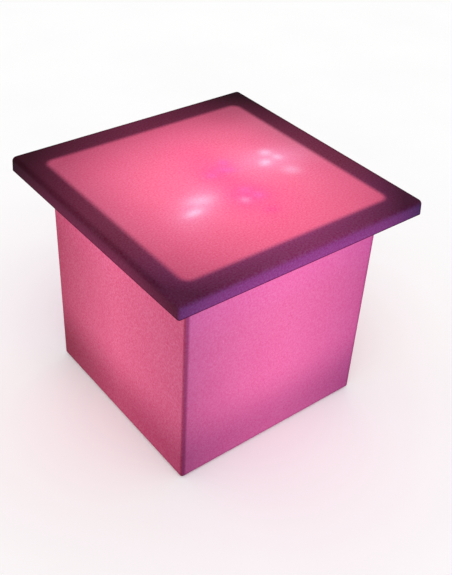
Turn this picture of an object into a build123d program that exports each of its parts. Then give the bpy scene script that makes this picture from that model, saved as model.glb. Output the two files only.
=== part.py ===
from build123d import *
import math
import os
from typing import NamedTuple

# Illuminated lounge table: a glowing square body, a lift-off square top with a
# hollow rim, and a battery lamp unit that is screwed into the body's base.
# Lengths are in millimetres. The origin is on the floor under the middle of the
# table, +Z is up, and the corner between the -X and -Y sides is the front one.


class Screw(NamedTuple):
    """Sizes of one pan-head screw."""

    radius: float
    head_radius: float
    head_height: float


# Whole table
TABLE_HEIGHT = 440.0
FOOT_STAND = 3.0

# Body moulding
BODY_WIDTH = 402.0
BODY_WALL = 4.0
BODY_CORNER_RADIUS = 7.0
BODY_LOWER_RADIUS = 6.0
WELL_DEPTH = 24.0
WELL_EDGE_RADIUS = 1.5
BOSS_RADIUS = 7.0
BOSS_CAP = 2.0

# Tabletop moulding
TOP_OVERHANG = 49.0
RIM_HEIGHT = 28.0
TOP_SKIN = 5.0
RIM_WALL = 4.0
TOP_CORNER_RADIUS = 9.0
TOP_EDGE_RADIUS = 6.0
RIM_LOWER_RADIUS = 2.0
POCKET_CLEARANCE = 3.0

# Vent plug in the underside of the rim
VENT_RADIUS = 4.0
VENT_CLEARANCE = 0.1
VENT_HEAD_LIP = 2.5
VENT_HEAD_HEIGHT = 1.5
VENT_BARB_LIP = 0.6
VENT_BARB_HEIGHT = 2.0

# Feet
FOOT_RADIUS = 12.5
FOOT_SEAT_DEPTH = 3.0
FOOT_INSET = 30.0
FOOT_EDGE_RADIUS = 1.0
FOOT_SCREW_SINK = 1.0

# Screws and threaded inserts
M4 = Screw(2.0, 3.8, 2.4)
M3 = Screw(1.5, 2.8, 2.0)
M2 = Screw(1.25, 2.2, 1.6)
DRIVE_SHARE = 0.5
THREAD_CLEARANCE = 0.05
HOLE_CLEARANCE = 0.3
INSERT_WALL = 1.2
INSERT_LENGTH = 8.0
INSERT_GRIP = 7.0
MOULDED_GRIP = 8.0
TIP_CLEARANCE = 1.0

# Hatch of the lamp unit
HATCH_THICKNESS = 3.0
HATCH_CLEARANCE = 2.0
HATCH_SCREWS = 6
GASKET_THICKNESS = 2.0
GASKET_INSET = 1.5
SEAL_WIDTH = 15.0
CUP_CLEARANCE = 9.0

# Cup of the lamp unit
CUP_WALL = 2.5
CUP_SLACK = 2.7
POST_RADIUS = 4.0
POST_CLEARANCE = 3.0
COVER_SCREWS = 4
COVER_SCREW_ANGLE = 45.0
COVER_BOSS_RADIUS = 4.8

# Buttons and their switches
BUTTON_RADIUS = 6.0
BUTTON_PROUD = 1.5
BUTTON_LIP = 1.5
BUTTON_LIP_HEIGHT = 1.0
BUTTON_TRAVEL = 1.2
BUTTON_X = 14.0
BUTTON_Y = 12.0
STEM_RADIUS = 1.5
STEM_ENTRY = 0.5
SWITCH_WIDTH = 6.0
SWITCH_HEIGHT = 3.5
RUN_CLEARANCE = 0.3

# Charge socket, its cover and the charge light
SOCKET_WIDTH = 8.94
SOCKET_THICKNESS = 3.26
SOCKET_SHELL = 0.3
SOCKET_SINK = 0.4
TONGUE_WIDTH = 6.6
TONGUE_THICKNESS = 0.7
TONGUE_SINK = 1.2
CHARGE_Y = -16.0
COVER_HALF_WIDTH = 8.7
COVER_REACH = 14.0
COVER_THICKNESS = 1.6
COVER_GAP = 0.4
COVER_TAB = 2.0
PIN_RADIUS = 0.75
PIN_CLEARANCE = 0.05
KNUCKLE_RADIUS = 1.6
LUG_WIDTH = 3.0
LUG_WALL = 1.3
LIGHT_RADIUS = 1.5
LIGHT_CLEARANCE = 0.1
LIGHT_LIP = 1.0
LIGHT_LIP_HEIGHT = 1.0

# Control board
BOARD_THICKNESS = 1.6
BOARD_EDGE = 3.5
BOARD_HOLE_X = 26.0
BOARD_BOSS_RADIUS = 3.0
TERMINAL_WIDTH = 5.0
TERMINAL_HEIGHT = 4.5
PARTS_HEADROOM = 7.4
CHIP_WIDTH = 10.0
CHIP_HEIGHT = 1.2
COIL_WIDTH = 8.0
COIL_HEIGHT = 4.0
CAPACITOR_RADIUS = 3.0
CAPACITOR_HEIGHT = 5.5

# Battery
CELL_RADIUS = 9.25
CELL_LENGTH = 65.0
CELL_COUNT = 3
CELL_GAP = 1.0
CELL_CLEARANCE = 0.3
TERMINAL_CAP_RADIUS = 3.0
TERMINAL_CAP_HEIGHT = 0.8
LINK_THICKNESS = 0.5
LINK_HEIGHT = 8.0
LINK_REACH = 5.0
TRAY_THICKNESS = 2.0
TRAY_MARGIN = 2.2
TRAY_SIDE_MARGIN = 2.25
TRAY_EDGE = 2.0
SADDLE_FLOOR = 0.5
SADDLE_HEIGHT = 9.0
SADDLE_THICKNESS = 4.0
SADDLE_INSET = 8.0
STRAP_WIDTH = 14.0
STRAP_THICKNESS = 1.5
STRAP_FOOT = 9.0
STRAP_BEND_RADIUS = 3.0

# Leads
LEAD_RADIUS = 0.8
LEAD_INSET = 2.5
LEAD_CLEARANCE = 3.2
LEAD_BEND_SHARE = 0.45

# Heat spreader, light board and lamp cover
SPREADER_THICKNESS = 2.0
SPREADER_HEADROOM = 6.0
SPREADER_CLEARANCE = 0.3
LEAD_HOLE_RADIUS = 3.0
LEAD_HOLE_MARGIN = 1.65
LED_BOARD_THICKNESS = 1.6
LED_TERMINAL_X = 20.0
LED_SCREW_INSET = 6.0
LED_SCREW_ANGLES = (60.0, 150.0, 270.0)
LED_WIDTH = 5.0
LED_HEIGHT = 1.6
LED_PITCH = 7.0
LENS_RADIUS = 3.0
LENS_BASE = 0.8
WHITE_GROUP_RADIUS = 28.0
WHITE_GROUP_ANGLE = 18.0
PINK_GROUP_RADIUS = 14.0
PINK_GROUP_ANGLE = 85.0
SEAL_THICKNESS = 1.0
SEAL_BAND = 12.0
COVER_FLANGE = 2.5
COVER_WALL = 2.5
COVER_RISE = 26.0
COVER_HEAD_MARGIN = 2.0

# Cuts run this far past the faces that they open
OVERCUT = 1.0
SMALLEST_RADIUS = 1.0
FILLET_LIMIT = 0.9

# Plan sizes of the mouldings
BODY_HALF = BODY_WIDTH / 2
TOP_WIDTH = BODY_WIDTH + 2 * TOP_OVERHANG
POCKET_WIDTH = BODY_WIDTH + 2 * POCKET_CLEARANCE
POCKET_CORNER_RADIUS = BODY_CORNER_RADIUS + POCKET_CLEARANCE
HOLLOW_OUTER_WIDTH = TOP_WIDTH - 2 * RIM_WALL
HOLLOW_INNER_WIDTH = POCKET_WIDTH + 2 * RIM_WALL
VENT_X = (HOLLOW_OUTER_WIDTH + HOLLOW_INNER_WIDTH) / 4
FOOT_PLACE = BODY_HALF - FOOT_INSET

# Plan sizes of the battery and its tray
CELL_PITCH = 2 * CELL_RADIUS + CELL_GAP
PACK_HALF_WIDTH = CELL_PITCH * (CELL_COUNT - 1) / 2 + CELL_RADIUS
LINK_HALF_SPAN = CELL_PITCH * (CELL_COUNT - 1) / 2 + LINK_REACH
PACK_HALF_LENGTH = CELL_LENGTH / 2 + TERMINAL_CAP_HEIGHT + LINK_THICKNESS
TRAY_HALF_LENGTH = PACK_HALF_LENGTH + TRAY_MARGIN
TRAY_HALF_WIDTH = PACK_HALF_WIDTH + TRAY_SIDE_MARGIN
STRAP_HALF_WIDTH = PACK_HALF_WIDTH + CELL_CLEARANCE
STRAP_SCREW_Y = STRAP_HALF_WIDTH + STRAP_THICKNESS + STRAP_FOOT / 2
STRAP_FOOT_Y = STRAP_HALF_WIDTH + STRAP_THICKNESS + STRAP_FOOT

# Plan places of the leads, the board and the tray's posts
LEAD_X = TRAY_HALF_LENGTH + LEAD_CLEARANCE + LEAD_RADIUS
LEAD_Y = LINK_HALF_SPAN - LEAD_INSET
BOARD_HALF_LENGTH = LEAD_X + TERMINAL_WIDTH / 2 + BOARD_EDGE
BOARD_HALF_WIDTH = LEAD_Y + TERMINAL_WIDTH / 2 + BOARD_EDGE
BOARD_HOLE_Y = BOARD_HALF_WIDTH - BOARD_EDGE
EAR_HALF_WIDTH = LEAD_Y - LEAD_RADIUS - LEAD_CLEARANCE
POST_X = BOARD_HALF_LENGTH + POST_CLEARANCE + POST_RADIUS
POST_Y = EAR_HALF_WIDTH - POST_RADIUS - TRAY_EDGE
EAR_REACH = POST_X + POST_RADIUS + TRAY_EDGE / 2

# Plan sizes of the lamp unit
CUP_INNER_RADIUS = math.hypot(EAR_REACH, EAR_HALF_WIDTH) + CUP_SLACK
CUP_RADIUS = CUP_INNER_RADIUS + CUP_WALL
OPENING_RADIUS = CUP_RADIUS + CUP_CLEARANCE
HATCH_RADIUS = OPENING_RADIUS + SEAL_WIDTH
HATCH_SCREW_CIRCLE = OPENING_RADIUS + SEAL_WIDTH / 2
WELL_RADIUS = HATCH_RADIUS + HATCH_CLEARANCE
COVER_SCREW_CIRCLE = CUP_INNER_RADIUS - COVER_BOSS_RADIUS + CUP_WALL / 4
DOME_BASE_RADIUS = COVER_SCREW_CIRCLE - M3.head_radius - COVER_HEAD_MARGIN
LEAD_CIRCLE = math.hypot(LEAD_X, LEAD_Y)
LED_BOARD_RADIUS = LEAD_CIRCLE - LEAD_HOLE_RADIUS - LEAD_HOLE_MARGIN
INSERT_RADIUS = M4.radius + THREAD_CLEARANCE + INSERT_WALL

# Levels above the floor
BODY_BASE_Z = FOOT_STAND
BODY_TOP_Z = TABLE_HEIGHT - TOP_SKIN
RIM_LOW_Z = TABLE_HEIGHT - RIM_HEIGHT
FOOT_SEAT_Z = BODY_BASE_Z + FOOT_SEAT_DEPTH
CEILING_Z = BODY_BASE_Z + WELL_DEPTH
HATCH_TOP_Z = CEILING_Z - GASKET_THICKNESS
HATCH_LOW_Z = HATCH_TOP_Z - HATCH_THICKNESS
LIP_TOP_Z = HATCH_TOP_Z + BUTTON_LIP_HEIGHT
SWITCH_LOW_Z = LIP_TOP_Z + BUTTON_TRAVEL + RUN_CLEARANCE
BOARD_LOW_Z = SWITCH_LOW_Z + SWITCH_HEIGHT
BOARD_TOP_Z = BOARD_LOW_Z + BOARD_THICKNESS
TERMINAL_TOP_Z = BOARD_TOP_Z + TERMINAL_HEIGHT
TRAY_LOW_Z = BOARD_TOP_Z + PARTS_HEADROOM
TRAY_TOP_Z = TRAY_LOW_Z + TRAY_THICKNESS
CELL_AXIS_Z = TRAY_TOP_Z + SADDLE_FLOOR + CELL_CLEARANCE + CELL_RADIUS
STRAP_LOW_Z = CELL_AXIS_Z + CELL_RADIUS + CELL_CLEARANCE
STRAP_TOP_Z = STRAP_LOW_Z + STRAP_THICKNESS
SPREADER_LOW_Z = STRAP_TOP_Z + SPREADER_HEADROOM
CUP_RIM_Z = SPREADER_LOW_Z + SPREADER_THICKNESS
LED_BOARD_TOP_Z = CUP_RIM_Z + LED_BOARD_THICKNESS
LED_TOP_Z = LED_BOARD_TOP_Z + LED_HEIGHT
LED_LEAD_Z = LED_BOARD_TOP_Z + TERMINAL_HEIGHT / 2
SEAL_TOP_Z = CUP_RIM_Z + SEAL_THICKNESS
FLANGE_TOP_Z = SEAL_TOP_Z + COVER_FLANGE

# The cover's dome is a cap of a sphere
DOME_RADIUS = (DOME_BASE_RADIUS**2 + COVER_RISE**2) / (2 * COVER_RISE)
DOME_CENTRE_Z = FLANGE_TOP_Z + COVER_RISE - DOME_RADIUS

# The charge cover's hinge line runs along X
HINGE_Y = CHARGE_Y - COVER_REACH / 2
HINGE_Z = HATCH_LOW_Z - COVER_GAP - KNUCKLE_RADIUS
LUG_RADIUS = PIN_RADIUS + PIN_CLEARANCE + LUG_WALL


def square_points(x, y):
    """Four places mirrored about the X and Y axes."""
    return [(x * across, y * along) for across in (-1, 1) for along in (-1, 1)]


def circle_points(count, radius, start=0.0):
    """Places spread evenly round a circle."""
    angles = [math.radians(start + 360.0 * i / count) for i in range(count)]
    return [(radius * math.cos(a), radius * math.sin(a)) for a in angles]


def disc(radius, low, high, place=(0.0, 0.0)):
    """An upright round bar from one level to another."""
    return Pos(place[0], place[1], (low + high) / 2) * Cylinder(radius, high - low)


def slab(length, width, low, high, place=(0.0, 0.0)):
    """A plain block, centred in plan, from one level to another."""
    return Pos(place[0], place[1], (low + high) / 2) * Box(length, width, high - low)


def ring(outer, inner, low, high, place=(0.0, 0.0)):
    """A flat or tall round ring."""
    return disc(outer, low, high, place) - disc(inner, low - OVERCUT, high + OVERCUT, place)


def rounded_block(width, low, high, corner_radius):
    """A square block with rounded upright corners."""
    corner = max(corner_radius, SMALLEST_RADIUS)
    return extrude(Plane.XY.offset(low) * RectangleRounded(width, width, corner), high - low)


def round_low_edge(block, radius, corner_radius):
    """Round the edges of the lowest face, within what its corners allow."""
    limit = min(radius, FILLET_LIMIT * corner_radius)
    return fillet(block.faces().sort_by(Axis.Z)[0].edges(), limit)


def round_top_edge(block, radius, corner_radius):
    """Round the edges of the highest face, within what its corners allow."""
    limit = min(radius, FILLET_LIMIT * corner_radius)
    return fillet(block.faces().sort_by(Axis.Z)[-1].edges(), limit)


def screw_up(screw, length, seat_z, place):
    """A screw driven upwards, with its head under seat_z."""
    head_low = seat_z - screw.head_height
    body = disc(screw.head_radius, head_low, seat_z, place)
    body += disc(screw.radius, seat_z, seat_z + length, place)
    drive = Plane.XY.offset(head_low) * Pos(*place) * RegularPolygon(screw.radius, 6)
    return body - extrude(drive, screw.head_height * DRIVE_SHARE)


def screw_down(screw, length, seat_z, place):
    """A screw driven downwards, with its head on seat_z."""
    head_high = seat_z + screw.head_height
    body = disc(screw.head_radius, seat_z, head_high, place)
    body += disc(screw.radius, seat_z - length, seat_z, place)
    drive = Plane.XY.offset(head_high) * Pos(*place) * RegularPolygon(screw.radius, 6)
    return body - extrude(drive, -screw.head_height * DRIVE_SHARE)


def group(solids):
    """Separate solids that share one node."""
    return Compound([solid for part in solids for solid in part.solids()])


def insert_places():
    """Plan place and lower level of every threaded insert in the body."""
    feet = [(place, FOOT_SEAT_Z) for place in square_points(FOOT_PLACE, FOOT_PLACE)]
    hatch = [(place, CEILING_Z) for place in circle_points(HATCH_SCREWS, HATCH_SCREW_CIRCLE)]
    return feet + hatch


def led_places(radius, angle):
    """Centres of the eight lights in two square groups on opposite sides."""
    reach = LED_PITCH / 2
    places = []
    for turn in (angle, angle + 180.0):
        group_place = Rot(0, 0, turn) * Pos(radius, 0, 0)
        places += [group_place * Pos(x, y, 0) for x, y in square_points(reach, reach)]
    return places


# Body and feet


def body_shell():
    """Square moulding, open at the top, with a round well under its base."""
    shell = rounded_block(BODY_WIDTH, BODY_BASE_Z, BODY_TOP_Z, BODY_CORNER_RADIUS)
    shell = round_low_edge(shell, BODY_LOWER_RADIUS, BODY_CORNER_RADIUS)
    inner_corner = max(BODY_CORNER_RADIUS - BODY_WALL, SMALLEST_RADIUS)
    inner_width = BODY_WIDTH - 2 * BODY_WALL
    space = rounded_block(inner_width, BODY_BASE_Z + BODY_WALL, BODY_TOP_Z + OVERCUT, inner_corner)
    shell -= round_low_edge(space, BODY_LOWER_RADIUS - BODY_WALL + SMALLEST_RADIUS, inner_corner)
    shell += disc(WELL_RADIUS + BODY_WALL, BODY_BASE_Z, CEILING_Z + BODY_WALL)
    for place in square_points(FOOT_PLACE, FOOT_PLACE):
        seat_radius = FOOT_RADIUS + HOLE_CLEARANCE
        shell += disc(seat_radius + BODY_WALL, BODY_BASE_Z, FOOT_SEAT_Z + BODY_WALL, place)
    for place, low in insert_places():
        shell += disc(BOSS_RADIUS, low, low + INSERT_LENGTH + BOSS_CAP, place)
    shell -= disc(WELL_RADIUS, BODY_BASE_Z - OVERCUT, CEILING_Z)
    shell -= disc(OPENING_RADIUS, CEILING_Z - OVERCUT, CEILING_Z + BODY_WALL + OVERCUT)
    for place in square_points(FOOT_PLACE, FOOT_PLACE):
        shell -= disc(FOOT_RADIUS + HOLE_CLEARANCE, BODY_BASE_Z - OVERCUT, FOOT_SEAT_Z, place)
    for place, low in insert_places():
        bore = INSERT_RADIUS + THREAD_CLEARANCE
        shell -= disc(bore, low - OVERCUT, low + INSERT_LENGTH, place)
    mouth = shell.edges().filter_by(GeomType.CIRCLE).filter_by_position(
        Axis.Z, BODY_BASE_Z, BODY_BASE_Z
    )
    mouth = mouth.filter_by(lambda edge: abs(edge.radius - WELL_RADIUS) < SMALLEST_RADIUS)
    return fillet(mouth, min(WELL_EDGE_RADIUS, FILLET_LIMIT * BODY_WALL))


def threaded_inserts():
    """Brass inserts that the feet and the hatch are screwed to."""
    bore = M4.radius + THREAD_CLEARANCE
    return group(
        ring(INSERT_RADIUS, bore, low, low + INSERT_LENGTH, place) for place, low in insert_places()
    )


def rubber_feet():
    """Round feet, let into the base at its corners."""
    feet = []
    for place in square_points(FOOT_PLACE, FOOT_PLACE):
        foot = disc(FOOT_RADIUS, 0.0, FOOT_SEAT_Z, place)
        edge = foot.edges().group_by(Axis.Z)[0]
        foot = fillet(edge, min(FOOT_EDGE_RADIUS, FILLET_LIMIT * FOOT_STAND))
        foot -= disc(M4.radius + HOLE_CLEARANCE, -OVERCUT, FOOT_SEAT_Z + OVERCUT, place)
        sink = FOOT_SCREW_SINK + M4.head_height
        foot -= disc(M4.head_radius + HOLE_CLEARANCE, -OVERCUT, sink, place)
        feet.append(foot)
    return group(feet)


def foot_screws():
    """One screw through each foot into its insert."""
    seat = FOOT_SCREW_SINK + M4.head_height
    length = FOOT_SEAT_Z - seat + INSERT_GRIP
    return group(
        screw_up(M4, length, seat, place) for place in square_points(FOOT_PLACE, FOOT_PLACE)
    )


# Tabletop


def tabletop():
    """Square top with a hollow rim round a pocket that drops over the body."""
    top = rounded_block(TOP_WIDTH, RIM_LOW_Z, TABLE_HEIGHT, TOP_CORNER_RADIUS)
    top = round_top_edge(top, TOP_EDGE_RADIUS, TOP_CORNER_RADIUS)
    top = round_low_edge(top, RIM_LOWER_RADIUS, TOP_CORNER_RADIUS)
    top -= rounded_block(POCKET_WIDTH, RIM_LOW_Z - OVERCUT, BODY_TOP_Z, POCKET_CORNER_RADIUS)
    rim_floor_z = RIM_LOW_Z + RIM_WALL
    hollow = rounded_block(
        HOLLOW_OUTER_WIDTH, rim_floor_z, BODY_TOP_Z, TOP_CORNER_RADIUS - RIM_WALL
    )
    hollow -= rounded_block(
        HOLLOW_INNER_WIDTH, rim_floor_z - OVERCUT, BODY_TOP_Z + OVERCUT,
        POCKET_CORNER_RADIUS + RIM_WALL,
    )
    top -= hollow
    return top - disc(VENT_RADIUS, RIM_LOW_Z - OVERCUT, rim_floor_z + OVERCUT, (VENT_X, 0.0))


def vent_plug():
    """Snap-in plug that closes the rim's moulding vent."""
    place = (VENT_X, 0.0)
    stem = VENT_RADIUS - VENT_CLEARANCE
    rim_floor_z = RIM_LOW_Z + RIM_WALL
    plug = disc(VENT_RADIUS + VENT_HEAD_LIP, RIM_LOW_Z - VENT_HEAD_HEIGHT, RIM_LOW_Z, place)
    plug += disc(stem, RIM_LOW_Z, rim_floor_z + VENT_BARB_HEIGHT, place)
    barb_low = rim_floor_z + VENT_CLEARANCE
    barb = disc(VENT_RADIUS + VENT_BARB_LIP, barb_low, rim_floor_z + VENT_BARB_HEIGHT, place)
    return plug + barb


# Casing of the lamp unit


def socket_outline(clearance=0.0):
    """Flat-sided oval outline of the charge socket, grown by a clearance."""
    width = SOCKET_WIDTH + 2 * clearance
    height = SOCKET_THICKNESS + 2 * clearance
    return Pos(0, CHARGE_Y) * SlotOverall(width, height)


def cover_lugs():
    """Two lugs under the hatch that carry the charge cover's pin."""
    lugs = Part()
    middle_x = COVER_HALF_WIDTH + RUN_CLEARANCE + LUG_WIDTH / 2
    for side in (-1, 1):
        barrel = Pos(side * middle_x, HINGE_Y, HINGE_Z) * Rot(0, 90, 0)
        lugs += barrel * Cylinder(LUG_RADIUS, LUG_WIDTH)
        lugs += slab(LUG_WIDTH, 2 * LUG_RADIUS, HINGE_Z, HATCH_TOP_Z, (side * middle_x, HINGE_Y))
    return lugs


def pin_bar(radius, half_length):
    """A round bar along the charge cover's hinge line."""
    return Pos(0, HINGE_Y, HINGE_Z) * Rot(0, 90, 0) * Cylinder(radius, 2 * half_length)


def lamp_housing():
    """Hatch and cup in one moulding, which closes the body's base."""
    housing = disc(HATCH_RADIUS, HATCH_LOW_Z, HATCH_TOP_Z)
    housing += ring(CUP_RADIUS, CUP_INNER_RADIUS, HATCH_TOP_Z, CUP_RIM_Z)
    housing += cover_lugs()
    for place in circle_points(COVER_SCREWS, COVER_SCREW_CIRCLE, COVER_SCREW_ANGLE):
        housing += disc(COVER_BOSS_RADIUS, HATCH_TOP_Z, SPREADER_LOW_Z, place)
    for place in square_points(POST_X, POST_Y):
        housing += disc(POST_RADIUS, HATCH_TOP_Z, TRAY_LOW_Z, place)
    for place in square_points(BOARD_HOLE_X, BOARD_HOLE_Y):
        housing += disc(BOARD_BOSS_RADIUS, HATCH_TOP_Z, BOARD_LOW_Z, place)
    return housing - housing_holes()


def housing_holes():
    """Every hole in the lamp housing."""
    holes = Part()
    for place in circle_points(HATCH_SCREWS, HATCH_SCREW_CIRCLE):
        holes += disc(M4.radius + HOLE_CLEARANCE, HATCH_LOW_Z - OVERCUT, CEILING_Z, place)
    for place in circle_points(COVER_SCREWS, COVER_SCREW_CIRCLE, COVER_SCREW_ANGLE):
        low = SPREADER_LOW_Z - MOULDED_GRIP
        holes += disc(M3.radius + THREAD_CLEARANCE, low, CUP_RIM_Z, place)
    for place in square_points(POST_X, POST_Y):
        low = TRAY_LOW_Z - MOULDED_GRIP
        holes += disc(M3.radius + THREAD_CLEARANCE, low, TRAY_TOP_Z, place)
    for place in square_points(BOARD_HOLE_X, BOARD_HOLE_Y):
        holes += disc(M2.radius + THREAD_CLEARANCE, HATCH_TOP_Z, BOARD_TOP_Z, place)
    for side in (-1, 1):
        place = (side * BUTTON_X, BUTTON_Y)
        holes += disc(BUTTON_RADIUS + RUN_CLEARANCE, HATCH_LOW_Z - OVERCUT, LIP_TOP_Z, place)
    light = LIGHT_RADIUS + LIGHT_CLEARANCE
    holes += disc(light, HATCH_LOW_Z - OVERCUT, LIP_TOP_Z, (0.0, BUTTON_Y))
    mouth = Plane.XY.offset(HATCH_LOW_Z - OVERCUT) * socket_outline(RUN_CLEARANCE)
    holes += extrude(mouth, HATCH_THICKNESS + 2 * OVERCUT)
    holes += pin_bar(PIN_RADIUS + PIN_CLEARANCE, COVER_HALF_WIDTH + RUN_CLEARANCE + LUG_WIDTH)
    return holes


def hatch_gasket():
    """Soft ring squeezed between the hatch and the body."""
    outer = HATCH_RADIUS - GASKET_INSET
    inner = OPENING_RADIUS + GASKET_INSET
    gasket = ring(outer, inner, HATCH_TOP_Z, CEILING_Z)
    for place in circle_points(HATCH_SCREWS, HATCH_SCREW_CIRCLE):
        hole = M4.radius + HOLE_CLEARANCE
        gasket -= disc(hole, HATCH_TOP_Z - OVERCUT, CEILING_Z + OVERCUT, place)
    return gasket


def hatch_screws():
    """Screws that hold the hatch up against the body."""
    length = HATCH_THICKNESS + GASKET_THICKNESS + INSERT_GRIP
    places = circle_points(HATCH_SCREWS, HATCH_SCREW_CIRCLE)
    return group(screw_up(M4, length, HATCH_LOW_Z, place) for place in places)


def cover_seal():
    """Soft ring between the cup's rim and the lamp cover."""
    seal = ring(CUP_RADIUS, CUP_RADIUS - SEAL_BAND, CUP_RIM_Z, SEAL_TOP_Z)
    for place in circle_points(COVER_SCREWS, COVER_SCREW_CIRCLE, COVER_SCREW_ANGLE):
        hole = M3.radius + HOLE_CLEARANCE
        seal -= disc(hole, CUP_RIM_Z - OVERCUT, SEAL_TOP_Z + OVERCUT, place)
    return seal


def lamp_cover():
    """Frosted domed cover with a flat flange."""
    dome = Pos(0, 0, DOME_CENTRE_Z) * Sphere(DOME_RADIUS)
    dome &= disc(DOME_RADIUS, SEAL_TOP_Z, FLANGE_TOP_Z + COVER_RISE + OVERCUT)
    cover = dome + disc(CUP_RADIUS, SEAL_TOP_Z, FLANGE_TOP_Z)
    cover -= Pos(0, 0, DOME_CENTRE_Z) * Sphere(DOME_RADIUS - COVER_WALL)
    for place in circle_points(COVER_SCREWS, COVER_SCREW_CIRCLE, COVER_SCREW_ANGLE):
        hole = M3.radius + HOLE_CLEARANCE
        cover -= disc(hole, SEAL_TOP_Z - OVERCUT, FLANGE_TOP_Z + OVERCUT, place)
    return cover


def cover_screws():
    """Screws through the cover, the seal and the spreader into the cup."""
    length = COVER_FLANGE + SEAL_THICKNESS + SPREADER_THICKNESS + MOULDED_GRIP - TIP_CLEARANCE
    places = circle_points(COVER_SCREWS, COVER_SCREW_CIRCLE, COVER_SCREW_ANGLE)
    return group(screw_down(M3, length, FLANGE_TOP_Z, place) for place in places)


# Controls


def press_button(side):
    """Round button whose stem works the switch above it."""
    place = (side * BUTTON_X, BUTTON_Y)
    button = disc(BUTTON_RADIUS, HATCH_LOW_Z - BUTTON_PROUD, HATCH_TOP_Z, place)
    low_edge = button.edges().group_by(Axis.Z)[0]
    button = fillet(low_edge, FILLET_LIMIT * min(BUTTON_PROUD, BUTTON_RADIUS) / 2)
    button += disc(BUTTON_RADIUS + BUTTON_LIP, HATCH_TOP_Z, LIP_TOP_Z, place)
    return button + disc(STEM_RADIUS, LIP_TOP_Z, SWITCH_LOW_Z + STEM_ENTRY, place)


def power_button():
    """Button that turns the lamp on and off."""
    return press_button(-1)


def colour_button():
    """Button that steps through the colours."""
    return press_button(1)


def button_switches():
    """Two switches under the control board, one over each button."""
    switches = []
    for side in (-1, 1):
        place = (side * BUTTON_X, BUTTON_Y)
        body = slab(SWITCH_WIDTH, SWITCH_WIDTH, SWITCH_LOW_Z, BOARD_LOW_Z, place)
        bore_top = SWITCH_LOW_Z + STEM_ENTRY + BUTTON_TRAVEL + RUN_CLEARANCE
        body -= disc(STEM_RADIUS + RUN_CLEARANCE, SWITCH_LOW_Z - OVERCUT, bore_top, place)
        switches.append(body)
    return group(switches)


def charge_socket():
    """Upright charge socket under the board, reaching down into the hatch."""
    low = HATCH_LOW_Z + SOCKET_SINK
    roof_z = BOARD_LOW_Z - TONGUE_SINK
    shell = extrude(Plane.XY.offset(low) * socket_outline(), BOARD_LOW_Z - low)
    inside = Plane.XY.offset(low - OVERCUT) * socket_outline(-SOCKET_SHELL)
    shell -= extrude(inside, roof_z - low + OVERCUT)
    tongue_low = low + TONGUE_SINK
    return shell + slab(TONGUE_WIDTH, TONGUE_THICKNESS, tongue_low, roof_z, (0.0, CHARGE_Y))


def charge_cover():
    """Small flap that hinges down from the charge socket."""
    plate_low = HINGE_Z
    plate_high = HINGE_Z + COVER_THICKNESS
    middle_y = HINGE_Y + COVER_REACH / 2
    width = 2 * COVER_HALF_WIDTH
    flap = slab(width, COVER_REACH, plate_low, plate_high, (0.0, middle_y))
    corners = flap.edges().filter_by(Axis.Z).sort_by(Axis.Y)[-2:]
    flap = fillet(corners, COVER_TAB)
    flap += pin_bar(KNUCKLE_RADIUS, COVER_HALF_WIDTH)
    free_y = HINGE_Y + COVER_REACH - COVER_TAB / 2
    flap += slab(COVER_HALF_WIDTH, COVER_TAB, plate_low - COVER_TAB / 2, plate_low, (0.0, free_y))
    return flap - pin_bar(PIN_RADIUS + PIN_CLEARANCE, COVER_HALF_WIDTH + OVERCUT)


def cover_pin():
    """Steel pin through the lugs and the charge cover."""
    return pin_bar(PIN_RADIUS, COVER_HALF_WIDTH + RUN_CLEARANCE + LUG_WIDTH)


def charge_light():
    """Clear light guide that shows the charge state under the hatch."""
    place = (0.0, BUTTON_Y)
    guide = disc(LIGHT_RADIUS, HATCH_LOW_Z, BOARD_LOW_Z - RUN_CLEARANCE, place)
    lip_top = HATCH_TOP_Z + LIGHT_LIP_HEIGHT
    return guide + disc(LIGHT_RADIUS + LIGHT_LIP, HATCH_TOP_Z, lip_top, place)


# Control board and battery


def control_board():
    """Circuit board on four bosses over the hatch."""
    board = slab(2 * BOARD_HALF_LENGTH, 2 * BOARD_HALF_WIDTH, BOARD_LOW_Z, BOARD_TOP_Z)
    for place in square_points(BOARD_HOLE_X, BOARD_HOLE_Y):
        hole = M2.radius + HOLE_CLEARANCE
        board -= disc(hole, BOARD_LOW_Z - OVERCUT, BOARD_TOP_Z + OVERCUT, place)
    return board


def board_screws():
    """Screws of the control board."""
    length = BOARD_TOP_Z - HATCH_TOP_Z - TIP_CLEARANCE
    places = square_points(BOARD_HOLE_X, BOARD_HOLE_Y)
    return group(screw_down(M2, length, BOARD_TOP_Z, place) for place in places)


def board_parts():
    """Controller chip, coil and two capacitors on the control board."""
    chip = slab(CHIP_WIDTH, CHIP_WIDTH, BOARD_TOP_Z, BOARD_TOP_Z + CHIP_HEIGHT)
    coil_top = BOARD_TOP_Z + COIL_HEIGHT
    coil = slab(COIL_WIDTH, COIL_WIDTH, BOARD_TOP_Z, coil_top, (CHIP_WIDTH + COIL_WIDTH, 0.0))
    parts = [chip, coil]
    for side in (-1, 1):
        place = (-CHIP_WIDTH - COIL_WIDTH, side * 2 * CAPACITOR_RADIUS)
        parts.append(disc(CAPACITOR_RADIUS, BOARD_TOP_Z, BOARD_TOP_Z + CAPACITOR_HEIGHT, place))
    return group(parts)


def lead_terminals():
    """Blocks that the leads end in, on the control board and the light board."""
    blocks = []
    for place in square_points(LEAD_X, LEAD_Y):
        blocks.append(slab(TERMINAL_WIDTH, TERMINAL_WIDTH, BOARD_TOP_Z, TERMINAL_TOP_Z, place))
    for side in (-1, 1):
        place = (side * LED_TERMINAL_X, -LEAD_Y)
        top = LED_BOARD_TOP_Z + TERMINAL_HEIGHT
        blocks.append(slab(TERMINAL_WIDTH, TERMINAL_WIDTH, LED_BOARD_TOP_Z, top, place))
    return group(blocks)


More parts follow.
